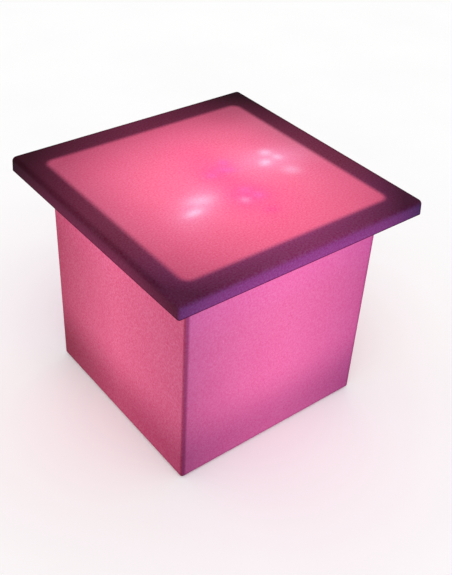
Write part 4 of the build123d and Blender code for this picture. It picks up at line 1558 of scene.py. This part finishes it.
def combine(piece: bpy.types.Object, tool: bpy.types.Object, operation: str) -> None:
    """Adds a tool's solid to a piece or cuts it away, and deletes the tool.

    Args:
        piece: The piece, which gets a new mesh.
        tool: Object with the tool's solid.
        operation: Blender's name of the operation, UNION or DIFFERENCE.
    """
    modifier = piece.modifiers.new(operation.lower(), "BOOLEAN")
    modifier.object = tool
    modifier.operation = operation
    modifier.solver = "EXACT"
    graph = bpy.context.evaluated_depsgraph_get()
    result = bpy.data.meshes.new_from_object(piece.evaluated_get(graph))
    piece.modifiers.clear()
    old, piece.data = piece.data, result
    result.name = piece.name
    bpy.data.meshes.remove(old)
    tool_mesh = tool.data
    bpy.data.objects.remove(tool)
    bpy.data.meshes.remove(tool_mesh)


def finish_piece(
    piece: bpy.types.Object, body: str, finish: Finish, nodes: tuple[str, ...]
) -> None:
    """Gives a new piece its shading, finish and body, and reports it.

    Args:
        piece: The new piece.
        body: Body of the frame that it rides on.
        finish: Its finish.
        nodes: Nodes of the frame that it stands for.
    """
    piece.data.shade_smooth()
    piece.data.set_sharp_from_angle(angle=math.radians(SHARP_DEGREES))
    normals = piece.modifiers.new("weighted_normals", "WEIGHTED_NORMAL")
    normals.keep_sharp = True
    piece.data.materials.clear()
    piece.data.materials.append(finish.material())
    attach(piece, body)
    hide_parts(*nodes)
    LOG.info("%s: new piece on %s, %d faces", piece.name, body, len(piece.data.polygons))


def dress(finish: Finish, *nodes: str) -> None:
    """Gives nodes of the frame their finish and reports them.

    Args:
        finish: The finish.
        nodes: Names of the nodes.
    """
    material = finish.material()
    for name in nodes:
        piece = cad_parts[name]
        if not piece.material_slots:
            piece.data.materials.append(material)
        for slot in piece.material_slots:
            slot.material = material
        LOG.info("%s: finished as %s", name, finish.slot)


SCREW_STEEL = Metal("screw_steel", (0.55, 0.56, 0.58), Sheen.SATIN, Grain.EVEN, 1800.0)
GASKET = Moulded("gasket_silicone", paint(88, 88, 92), Sheen.MATTE, pebbles=700.0)


# Sub-assemblies


@dataclass
class BodyMoulding:
    """Open body with a round well in its base, its inserts and its feet.

    Sizes are in millimetres. The sole's edge is given by insets and levels.
    """

    half: float = 201.0
    corner: float = 5.5
    wall: float = 4.0
    base_z: float = 3.0
    top_z: float = 435.0
    lower_radius: float = 4.0
    lip_radius: float = 0.8
    inner_radius: float = 2.7
    least_corner: float = 0.6
    bow: float = 0.45
    well_radius: float = 91.93
    well_edge: float = 1.5
    well_fillet: float = 1.5
    roof_radius: float = 1.2
    ceiling_z: float = 27.0
    ceiling_step: float = 8.0
    opening_radius: float = 74.93
    opening_edge: float = 0.6
    screw_circle: float = 82.43
    screws: int = 6
    boss_radius: float = 7.0
    boss_root: float = 1.5
    boss_fillet: float = 1.0
    boss_edge: float = 0.6
    pad_top_z: float = 10.0
    pad_edge: float = 0.8
    foot_boss_top_z: float = 16.0
    screw_boss_top_z: float = 37.0
    bore_radius: float = 3.3
    bore_depth: float = 8.0
    cut_margin: float = 1.0
    foot_place: float = 171.0
    foot_radius: float = 12.5
    foot_seat_z: float = 6.0
    foot_gap: float = 0.3
    foot_edge: float = 0.3
    recess_radius: float = 4.1
    recess_z: float = 3.4
    hole_radius: float = 2.3
    grooves: tuple[Span, ...] = ((6.2, 7.6), (9.4, 10.6))
    groove_depth: float = 0.5
    sole_edge: tuple[Span, ...] = ((0.9, 0.0), (0.4, 0.12), (0.1, 0.4), (0.0, 0.9), (0.0, 2.4))
    finish: BodyGlow = BodyGlow("body_polyethylene", paint(244, 115, 176), Sheen.MATTE, 0.64)

    def build(self) -> None:
        """Builds the skin and the feet and dresses the small parts."""
        self.build_skin()
        self.build_feet()
        brass = Metal("insert_brass", (0.62, 0.43, 0.16), Sheen.SATIN, Grain.ALONG_Z, 900.0)
        dress(brass, "threaded_inserts")
        dress(SCREW_STEEL, "foot_screws")

    def circle(self, radius: float, z: float) -> np.ndarray:
        """A circle round the middle, with a point for each point of the outline."""
        return RoundedSquare(self.half * MM, self.corner * MM).circle(radius * MM, z * MM)

    def wall_ring(self, inset: float, z: float) -> np.ndarray:
        """A ring of the wall, drawn in slightly in the middle of each side.

        The draw is bow times (1 - way squared) times sin(pi h), with way along the side
        and h the height as a share of the wall's.

        Args:
            inset: Distance inwards from the outer wall.
            z: Level.

        Returns:
            Points of the ring in metres, (count, 3).
        """
        corner = max(self.corner - inset, self.least_corner)
        outline = RoundedSquare((self.half - inset) * MM, corner * MM)
        _, _, way = outline.frame()
        share = (z - self.base_z) / (self.top_z - self.base_z)
        draw = self.bow * (1.0 - way**2) * math.sin(math.pi * share)
        return outline.ring(draw * MM, z * MM)

    def build_skin(self) -> None:
        """Builds the moulding: its section carried round its rounded square outline.

        The section runs from the opening over the well and the base to the outer wall, over
        the mouth and back down inside. The rings change from circles at the well to the
        outline at the walls by a straight blend.
        """
        rings = self.well_rings()
        shares = np.linspace(0.0, 1.0, 10)
        low_ring = self.wall_ring(self.lower_radius, self.base_z)
        rings += blend_rings(rings[-1], low_ring, shares[1:-1])
        rings += self.wall_rings()
        ring_radius, floor_z = self.well_radius + self.wall, self.base_z + self.wall
        foot = self.circle(ring_radius + self.well_fillet, floor_z)
        rings += blend_rings(rings[-1], foot, shares[1:])
        rings.append(self.circle(ring_radius, floor_z + self.well_fillet))
        middle, roof_z = ring_radius - self.roof_radius, self.ceiling_z + self.wall
        for x, z in arc(self.roof_radius, 0.0, 90.0, steps=4):
            rings.append(self.circle(middle + x, roof_z - self.roof_radius + z))
        rings.append(self.circle(self.opening_radius + self.opening_edge, roof_z))
        rings.append(self.circle(self.opening_radius, roof_z - self.opening_edge))
        piece = skin("body_skin", rings)
        combine(piece, self.bosses(), "UNION")
        combine(piece, self.hollows(), "DIFFERENCE")
        finish_piece(piece, "base", self.finish, ("body_shell",))

    def well_rings(self) -> list[np.ndarray]:
        """Rings of the well's ceiling and wall, down to the rounding of its mouth.

        Returns:
            The rings, from the opening on.
        """
        lip = self.well_radius - self.lip_radius
        ceiling = (self.opening_radius, self.well_radius - self.ceiling_step, lip)
        rings = [self.circle(radius, self.ceiling_z) for radius in ceiling]
        for x, z in arc(self.lip_radius, 90.0, 0.0, steps=4)[1:]:
            rings.append(self.circle(lip + x, self.ceiling_z - self.lip_radius + z))
        rings.append(self.circle(self.well_radius, 0.5 * (self.ceiling_z + self.base_z)))
        for x, z in arc(self.well_edge, 180.0, 270.0, steps=6):
            radius = self.well_radius + self.well_edge + x
            rings.append(self.circle(radius, self.base_z + self.well_edge + z))
        return rings

    def wall_rings(self) -> list[np.ndarray]:
        """Rings up the outer wall, over the mouth and down the inner wall to the floor.

        Returns:
            The rings, from the lower edge on.
        """
        rings = []
        low_z, lip_z = self.base_z + self.lower_radius, self.top_z - self.lip_radius
        for x, z in arc(self.lower_radius, 270.0, 360.0, steps=9):
            rings.append(self.wall_ring(self.lower_radius - x, low_z + z))
        levels = np.linspace(low_z, lip_z, 18)
        rings += [self.wall_ring(0.0, z) for z in levels[1:-1]]
        for middle, start in ((self.lip_radius, 0.0), (self.wall - self.lip_radius, 90.0)):
            for x, z in arc(self.lip_radius, start, start + 90.0, steps=4):
                rings.append(self.wall_ring(middle - x, lip_z + z))
        rings += [self.wall_ring(self.wall, z) for z in levels[-2:1:-1]]
        inner_z = self.base_z + self.wall + self.inner_radius
        for x, z in arc(self.inner_radius, 180.0, 270.0, steps=5):
            rings.append(self.wall_ring(self.wall + self.inner_radius + x, inner_z + z))
        return rings

    def foot_places(self) -> list[Span]:
        """Plan places of the four feet."""
        return [(x * self.foot_place, y * self.foot_place) for x in (-1, 1) for y in (-1, 1)]

    def screw_places(self) -> list[Span]:
        """Plan places of the hatch's screws."""
        turns = [2 * math.pi * i / self.screws for i in range(self.screws)]
        return [(self.screw_circle * math.cos(a), self.screw_circle * math.sin(a)) for a in turns]

    def solids(self, name: str, foot: Profile, hatch: Profile) -> bpy.types.Object:
        """One turned solid at each foot and one at each screw of the hatch.

        Args:
            name: Name of the new object.
            foot, hatch: Their profiles.

        Returns:
            One object with all the solids.
        """
        return joined(
            [turned(name, foot, place) for place in self.foot_places()]
            + [turned(name, hatch, place) for place in self.screw_places()]
        )

    def boss_end(self, top_z: float) -> Profile:
        """Profile of a boss's chamfered end."""
        radius, edge = self.boss_radius, self.boss_edge
        return [(radius, top_z - edge), (radius - edge, top_z)]

    def bosses(self) -> bpy.types.Object:
        """Solids of the bosses over the feet and over the hatch's screws.

        Returns:
            One object with all of them.
        """
        pad, boss = self.foot_radius + self.foot_gap + self.wall, self.boss_radius
        foot = [
            (pad, self.base_z + self.boss_root), (pad, self.pad_top_z - self.pad_edge),
            (pad - self.pad_edge, self.pad_top_z), (boss + self.boss_fillet, self.pad_top_z),
            (boss, self.pad_top_z + self.boss_fillet), *self.boss_end(self.foot_boss_top_z),
        ]
        hatch = [(boss, self.ceiling_z + self.boss_root), *self.boss_end(self.screw_boss_top_z)]
        return self.solids("boss", foot, hatch)

    def hollows(self) -> bpy.types.Object:
        """Solids that cut the foot seats and the bores of the inserts.

        Returns:
            One object with all of them.
        """
        seat, bore = self.foot_radius + self.foot_gap, self.bore_radius
        foot = [
            (seat, self.base_z - self.cut_margin), (seat, self.foot_seat_z),
            (bore, self.foot_seat_z), (bore, self.foot_seat_z + self.bore_depth),
        ]
        low, high = self.ceiling_z - self.cut_margin, self.ceiling_z + self.bore_depth
        return self.solids("bore", foot, [(bore, low), (bore, high)])

    def build_feet(self) -> None:
        """Builds the four feet: turned pads with two grooves in the sole and a screw hole."""
        edge, recess, hole = self.foot_edge, self.recess_radius, self.hole_radius
        profile = [(recess, self.recess_z), (recess, edge), (recess + edge, 0.0)]
        for start, end in self.grooves:
            profile += [
                (start, 0.0), (start + edge, self.groove_depth), (end - edge, self.groove_depth),
                (end, 0.0),
            ]
        profile += [(self.foot_radius - inset, z) for inset, z in self.sole_edge]
        outside, top = self.foot_radius, self.foot_seat_z
        profile += [
            (outside, top - edge), (outside - edge, top), (hole + edge, top), (hole, top - edge),
            (hole, self.recess_z),
        ]
        pads = [
            turned("foot_pads", profile, place, count=64, hollow=True)
            for place in self.foot_places()
        ]
        finish = Moulded("foot_rubber", paint(40, 38, 40), Sheen.DULL, 1300.0, 0.25, 0.00012, 0.12)
        finish_piece(joined(pads), "base", finish, ("rubber_feet",))


@dataclass
class Tabletop:
    """Lift-off top with its hollow rim and vent plug.

    Sizes are in millimetres. The fields are the flat middles of its top and of the pocket's
    ceiling, and their shares place the rings on them.
    """

    half: float = 250.0
    corner: float = 9.0
    low_corner: float = 4.0
    corner_shrink: float = 0.9
    top_z: float = 440.0
    rim_height: float = 28.0
    thickness: float = 5.0
    edge_radius: float = 8.0
    lower_radius: float = 1.5
    pocket_half: float = 204.0
    pocket_corner: float = 10.0
    lip_radius: float = 0.8
    sink: float = 0.35
    field_shares: tuple[float, ...] = (0.04, 0.12, 0.25, 0.4, 0.55, 0.68, 0.8, 0.88, 0.94, 0.98)
    ceiling_shares: tuple[float, ...] = (0.85, 0.65, 0.45, 0.25, 0.08)
    vent_x: float = 227.0
    vent_radius: float = 4.05
    vent_depth: float = 4.02
    vent_wide_radius: float = 4.75
    vent_end: float = 6.3
    cut_margin: float = 1.0
    finish: TopGlow = TopGlow("top_polyethylene", (1.13, 0.196, 0.368), Sheen.MATTE, 0.62)

    def build(self) -> None:
        """Builds the skin and dresses the plug."""
        self.build_skin()
        plug = Moulded("vent_plug_plastic", paint(196, 132, 160), Sheen.MATTE)
        dress(plug, "vent_plug")

    def edge_ring(self, inset: float, z: float) -> np.ndarray:
        """A ring of the slab's outside.

        Its corner radius goes evenly from low_corner at the bottom to corner at the top. It
        shrinks evenly with the inset, by corner_shrink of itself across the upper edge.

        Args:
            inset: Distance inwards.
            z: Level.

        Returns:
            Points of the ring in metres, (count, 3).
        """
        share = min((self.top_z - z) / self.rim_height, 1.0)
        corner = self.corner + (self.low_corner - self.corner) * share
        corner *= 1.0 - self.corner_shrink * inset / self.edge_radius
        return RoundedSquare((self.half - inset) * MM, corner * MM).ring(0.0, z * MM)

    def build_skin(self) -> None:
        """Builds the moulding: its section carried round its rounded square outline.

        The section runs from the middle of the top over the rounded edge, down the rim, in
        under it, up the pocket's wall and back to the middle of the pocket's ceiling. On the
        two flat fields each ring is the border ring times a share, and the top sinks there
        by sink times (1 - share squared) squared.
        """
        border = self.edge_ring(self.edge_radius, self.top_z) * [1.0, 1.0, 0.0]
        rings = []
        for share in self.field_shares:
            level = self.top_z - self.sink * (1.0 - share**2) ** 2
            rings.append(border * share + [0.0, 0.0, level * MM])
        for x, z in arc(self.edge_radius, 90.0, 0.0, steps=10):
            rings.append(self.edge_ring(self.edge_radius - x, self.top_z - self.edge_radius + z))
        low, ceiling = self.top_z - self.rim_height, self.top_z - self.thickness
        levels = np.linspace(self.top_z - self.edge_radius, low + self.lower_radius, 6)
        rings += [self.edge_ring(0.0, level) for level in levels[1:-1]]
        for x, z in arc(self.lower_radius, 0.0, -90.0, steps=5):
            rings.append(self.edge_ring(self.lower_radius - x, low + self.lower_radius + z))
        pocket = RoundedSquare(self.pocket_half * MM, self.pocket_corner * MM)
        mouth = pocket.ring(-self.lip_radius * MM, low * MM)
        rings += blend_rings(rings[-1], mouth, np.linspace(0.0, 1.0, 7)[1:])
        for x, z in arc(self.lip_radius, 90.0, 180.0, steps=4)[1:]:
            inset = -(self.lip_radius + x)
            rings.append(pocket.ring(inset * MM, (low + self.lip_radius - z) * MM))
        for x, z in arc(self.lip_radius, 0.0, 90.0, steps=4):
            inset = self.lip_radius - x
            rings.append(pocket.ring(inset * MM, (ceiling - self.lip_radius + z) * MM))
        last = rings[-1]
        rings += [last * [share, share, 1.0] for share in self.ceiling_shares]
        poles = [np.array([0.0, 0.0, z * MM]) for z in (self.top_z - self.sink, ceiling)]
        piece = skin("top_skin", rings, *poles)
        vent = [
            (self.vent_radius, low - self.cut_margin), (self.vent_radius, low + self.vent_depth),
            (self.vent_wide_radius, low + self.vent_depth),
            (self.vent_wide_radius, low + self.vent_end),
        ]
        combine(piece, turned("vent", vent, (self.vent_x, 0.0)), "DIFFERENCE")
        finish_piece(piece, "tabletop", self.finish, ("tabletop",))


@dataclass
class LampCasing:
    """Hatch and cup of the lamp unit with their seals, cover and screws."""

    housing: Colour = paint(232, 206, 216)
    cover: Colour = paint(250, 224, 236)
    cover_light: Colour = (0.42, 0.16, 0.26)

    def build(self) -> None:
        """Dresses the casing."""
        dress(Moulded("housing_plastic", self.housing, Sheen.MATTE), "lamp_housing")
        dress(GASKET, "hatch_gasket", "cover_seal")
        dress(SCREW_STEEL, "hatch_screws", "cover_screws")
        frosted = Frosted("cover_polycarbonate", self.cover, Sheen.SATIN, self.cover_light, 0.5)
        dress(frosted, "lamp_cover")


@dataclass
class Controls:
    """Buttons, charge socket and charge light in the hatch.

    Sizes are in millimetres. The rings of a button's face are given by their share of the
    radius, their share of the dish and their height over the face.
    """

    button_radius: float = 6.0
    button_x: float = 14.0
    button_y: float = 12.0
    face_z: float = 20.5
    face_rings: tuple[Triple, ...] = (
        (0.1, 1.0, 0.0), (0.45, 0.8, 0.0), (0.7, 0.3, 0.0), (0.84, 0.0, 0.0), (0.93, 0.0, 0.12),
        (0.985, 0.0, 0.45), (1.0, 0.0, 0.9),
    )
    hatch_top_z: float = 25.0
    lip: float = 1.5
    lip_height: float = 1.0
    stem_radius: float = 1.5
    stem_top_z: float = 28.0
    stem_fillet: float = 0.2
    stem_edge: float = 0.3
    dish: float = 0.35

    def build(self) -> None:
        """Builds the button caps and dresses the other controls."""
        self.build_button("power", -1.0, paint(204, 58, 74))
        self.build_button("colour", 1.0, paint(74, 118, 196))
        dress(Moulded("switch_plastic", paint(34, 34, 37), Sheen.MATTE), "button_switches")
        drawn = Metal("socket_steel", (0.50, 0.51, 0.53), Sheen.SATIN, Grain.ALONG_Z)
        dress(drawn, "charge_socket")
        dress(Moulded("flap_plastic", paint(74, 72, 76), Sheen.MATTE, 1200.0), "charge_cover")
        dress(SCREW_STEEL, "cover_pin")
        green, light = (0.75, 0.95, 0.80), (0.05, 0.35, 0.1)
        dress(Frosted("light_guide_plastic", green, Sheen.GLOSS, light, 0.55), "charge_light")

    def build_button(self, use: str, side: float, colour: Colour) -> None:
        """Builds one button: a turned cap with a dished face, a lip and a stem.

        Args:
            use: What the button does, power or colour.
            side: -1 for the left button and 1 for the right one.
            colour: Its linear colour.
        """
        r, top, stem = self.button_radius, self.hatch_top_z, self.stem_radius
        lip_top = top + self.lip_height
        profile = [
            (r * share, self.face_z + self.dish * depth + height)
            for share, depth, height in self.face_rings
        ]
        profile += [
            (r, top), (r + self.lip, top), (r + self.lip, lip_top),
            (stem + self.stem_fillet, lip_top), (stem, lip_top + self.stem_fillet),
            (stem, self.stem_top_z - self.stem_edge), (stem - self.stem_edge, self.stem_top_z),
        ]
        piece = turned(f"{use}_cap", profile, (side * self.button_x, self.button_y), count=64)
        title = f"{use}_button_plastic"
        finish = Moulded(title, colour, Sheen.SATIN, 1500.0, 0.08, 0.00003, 0.15)
        finish_piece(piece, f"{use}_button", finish, (f"{use}_button",))


@dataclass
class ControlBoard:
    """Circuit board over the hatch, with its parts and terminals."""

    lacquer: Colour = paint(28, 92, 62)

    def build(self) -> None:
        """Dresses the board and what is on it."""
        dress(Laminate("control_board_laminate", self.lacquer, Sheen.GLOSS), "control_board")
        dress(SCREW_STEEL, "board_screws")
        parts = Moulded("board_parts_plastic", paint(38, 38, 42), Sheen.MATTE, 1800.0)
        dress(parts, "board_parts")
        dress(Moulded("terminal_plastic", paint(230, 228, 214), Sheen.SATIN), "lead_terminals")


@dataclass
class BatteryPack:
    """Three cells in their tray, with links, strap and leads."""

    sleeve: Colour = paint(54, 110, 176)

    def build(self) -> None:
        """Dresses the battery."""
        dress(Moulded("tray_plastic", paint(46, 46, 50), Sheen.MATTE), "battery_tray")
        dress(Sleeve("cell_sleeve", self.sleeve, Sheen.GLOSS), "battery_cells")
        nickel = Metal("link_nickel", (0.60, 0.58, 0.53), Sheen.GLOSS, Grain.EVEN, 2200.0)
        dress(nickel, "cell_links")
        steel = Metal("strap_steel", (0.48, 0.49, 0.51), Sheen.SATIN, Grain.ALONG_X)
        dress(steel, "battery_strap")
        dress(SCREW_STEEL, "tray_screws", "strap_screws")
        dress(Sleeve("battery_lead_sleeve", paint(190, 42, 38), Sheen.SATIN), "battery_leads")


@dataclass
class LightSource:
    """Light board on its heat spreader, with lights, lenses and leads."""

    white_light: Colour = (1.0, 0.80, 0.90)
    pink_light: Colour = (1.0, 0.22, 0.52)

    def build(self) -> None:
        """Dresses the light source."""
        milled = Metal("spreader_aluminium", (0.66, 0.67, 0.69), Sheen.SATIN, Grain.ALONG_X, 900.0)
        dress(milled, "heat_spreader")
        lacquer = Moulded("light_board_lacquer", paint(238, 236, 236), Sheen.SATIN, 1800.0)
        dress(lacquer, "led_board")
        dress(SCREW_STEEL, "led_board_screws")
        white = LitPackage("led_white", (0.9, 0.82, 0.8), Sheen.SATIN, self.white_light, 3.0)
        dress(white, "white_leds")
        pink = LitPackage("led_pink", (0.9, 0.35, 0.6), Sheen.SATIN, self.pink_light, 3.0)
        dress(pink, "pink_leds")
        clear, light = (0.95, 0.92, 0.95), (0.25, 0.14, 0.2)
        dress(Frosted("lens_acrylic", clear, Sheen.GLOSS, light, 0.3), "led_lenses")
        dress(Sleeve("led_lead_sleeve", paint(36, 36, 40), Sheen.SATIN), "led_leads")


def seen_directly(writer: NodeWriter, path: dict[str, Value]) -> Value:
    """One for rays from the camera, a reflection or a see-through surface, else zero."""
    seen = writer.most(path["Is Camera Ray"], path["Is Glossy Ray"])
    return writer.most(seen, path["Is Transmission Ray"])


@dataclass
class Studio:
    """Camera, floor and light of the picture. Lengths are in metres."""

    eye: Triple = (-0.8067, -1.0129, 1.1989)
    forward: Triple = (0.5099, 0.6088, -0.6078)
    upward: Triple = (0.3424, 0.5045, 0.7926)
    lens: float = 55.12
    film: float = 36.0
    floor_half: float = 12.0
    floor_fields: int = 24
    floor_colour: Colour = (0.88, 0.88, 0.88)
    floor_seen: Colour = (0.97, 0.97, 0.97)
    cloud_waves: float = 3.0
    cloud_heights: Span = (0.2, 0.8)
    cloud_tones: Span = (0.99, 1.01)
    sky: float = 0.78
    sun: float = 0.9
    sun_width: float = 50.0
    sun_from: Triple = (-0.35, -0.55, 1.0)

    def build(self) -> None:
        """Sets up the camera, the floor and the light."""
        bpy.context.scene.view_settings.view_transform = "Standard"
        self.build_camera()
        self.build_floor()
        self.build_light()

    def build_camera(self) -> None:
        """Places the camera where the photo's camera stood.

        The columns of its rotation are right = forward x upward, up and minus forward.
        """
        data = bpy.data.cameras.new("photo_camera")
        data.sensor_fit = "VERTICAL"
        data.sensor_height = self.film
        data.lens = self.lens
        camera = placed("photo_camera", data)
        forward = np.array(self.forward) / np.linalg.norm(self.forward)
        right = np.cross(forward, self.upward)
        right /= np.linalg.norm(right)
        matrix = np.eye(4)
        matrix[:3, :3] = np.column_stack([right, np.cross(right, forward), -forward])
        matrix[:3, 3] = self.eye
        camera.matrix_world = Matrix(matrix.tolist())
        bpy.context.scene.camera = camera

    def build_floor(self) -> None:
        """Builds a plain pale floor, a flat grid of square fields."""
        steps = np.linspace(-self.floor_half, self.floor_half, self.floor_fields + 1)
        x, y = np.meshgrid(steps, steps)
        vertices = np.stack([x.ravel(), y.ravel(), np.zeros(x.size)], axis=1)
        index = np.arange(x.size).reshape(x.shape)
        faces = np.stack([index[:-1, :-1], index[:-1, 1:], index[1:, 1:], index[1:, :-1]], axis=-1)
        mesh = bpy.data.meshes.new("floor")
        mesh.from_pydata(vertices.tolist(), [], faces.reshape(-1, 4).tolist())
        mesh.materials.append(self.floor_material())
        floor = placed("floor", mesh)

    def floor_material(self) -> bpy.types.Material:
        """Material of the floor.

        It is nearly white to what sees it directly or in a reflection. What comes from
        under it passes through, so that the table can be looked at from below.

        Returns:
            The material.
        """
        material = bpy.data.materials.new("pale_floor")
        writer = emptied(material)
        path = writer.values(writer.node("ShaderNodeLightPath"))
        waves = writer.noise(writer.point(), self.cloud_waves)
        colour = writer.mix(seen_directly(writer, path), self.floor_colour, self.floor_seen)
        tone = writer.ramp(waves, *self.cloud_heights, *self.cloud_tones)
        colour = writer.dim(colour, tone)
        pale = writer.value(writer.node("ShaderNodeBsdfDiffuse", {"Color": colour}))
        clear = writer.value(writer.node("ShaderNodeBsdfTransparent"))
        behind = writer.value(writer.node("ShaderNodeNewGeometry"), "Backfacing")
        passed = writer.maths("GREATER_THAN", path["Transparent Depth"], 0.5)
        sources = {0: writer.most(behind, passed), 1: pale, 2: clear}
        writer.put_out(writer.node("ShaderNodeMixShader", sources))
        return material

    def build_light(self) -> None:
        """Makes an even white sky and one wide soft lamp.

        The camera, glossy and see-through rays meet a white sky of strength 1.
        """
        world = bpy.data.worlds.new("studio")
        bpy.context.scene.world = world
        writer = emptied(world)
        seen = seen_directly(writer, writer.values(writer.node("ShaderNodeLightPath")))
        strength = writer.ramp(seen, 0.0, 1.0, self.sky, 1.0)
        sources = {"Color": (1.0, 1.0, 1.0), "Strength": strength}
        writer.put_out(writer.node("ShaderNodeBackground", sources), "ShaderNodeOutputWorld")
        data = bpy.data.lights.new("soft_lamp", "SUN")
        data.energy = self.sun
        data.angle = math.radians(self.sun_width)
        lamp = placed("soft_lamp", data)
        away = -np.array(self.sun_from) / np.linalg.norm(self.sun_from)
        turn = math.atan2(away[1], away[0]) - math.pi / 2
        lamp.rotation_euler = (math.acos(-away[2]), 0.0, turn)


def main() -> None:
    """Builds the picture's setting and every sub-assembly in order."""
    logging.basicConfig(level=logging.INFO, format="%(name)s %(message)s", stream=sys.stdout)
    Studio().build()
    for assembly in (
        BodyMoulding(), Tabletop(), LampCasing(), Controls(), ControlBoard(), BatteryPack(),
        LightSource(),
    ):
        assembly.build()
        LOG.info("%s done", type(assembly).__name__)


if __name__ == "__main__":
    main()
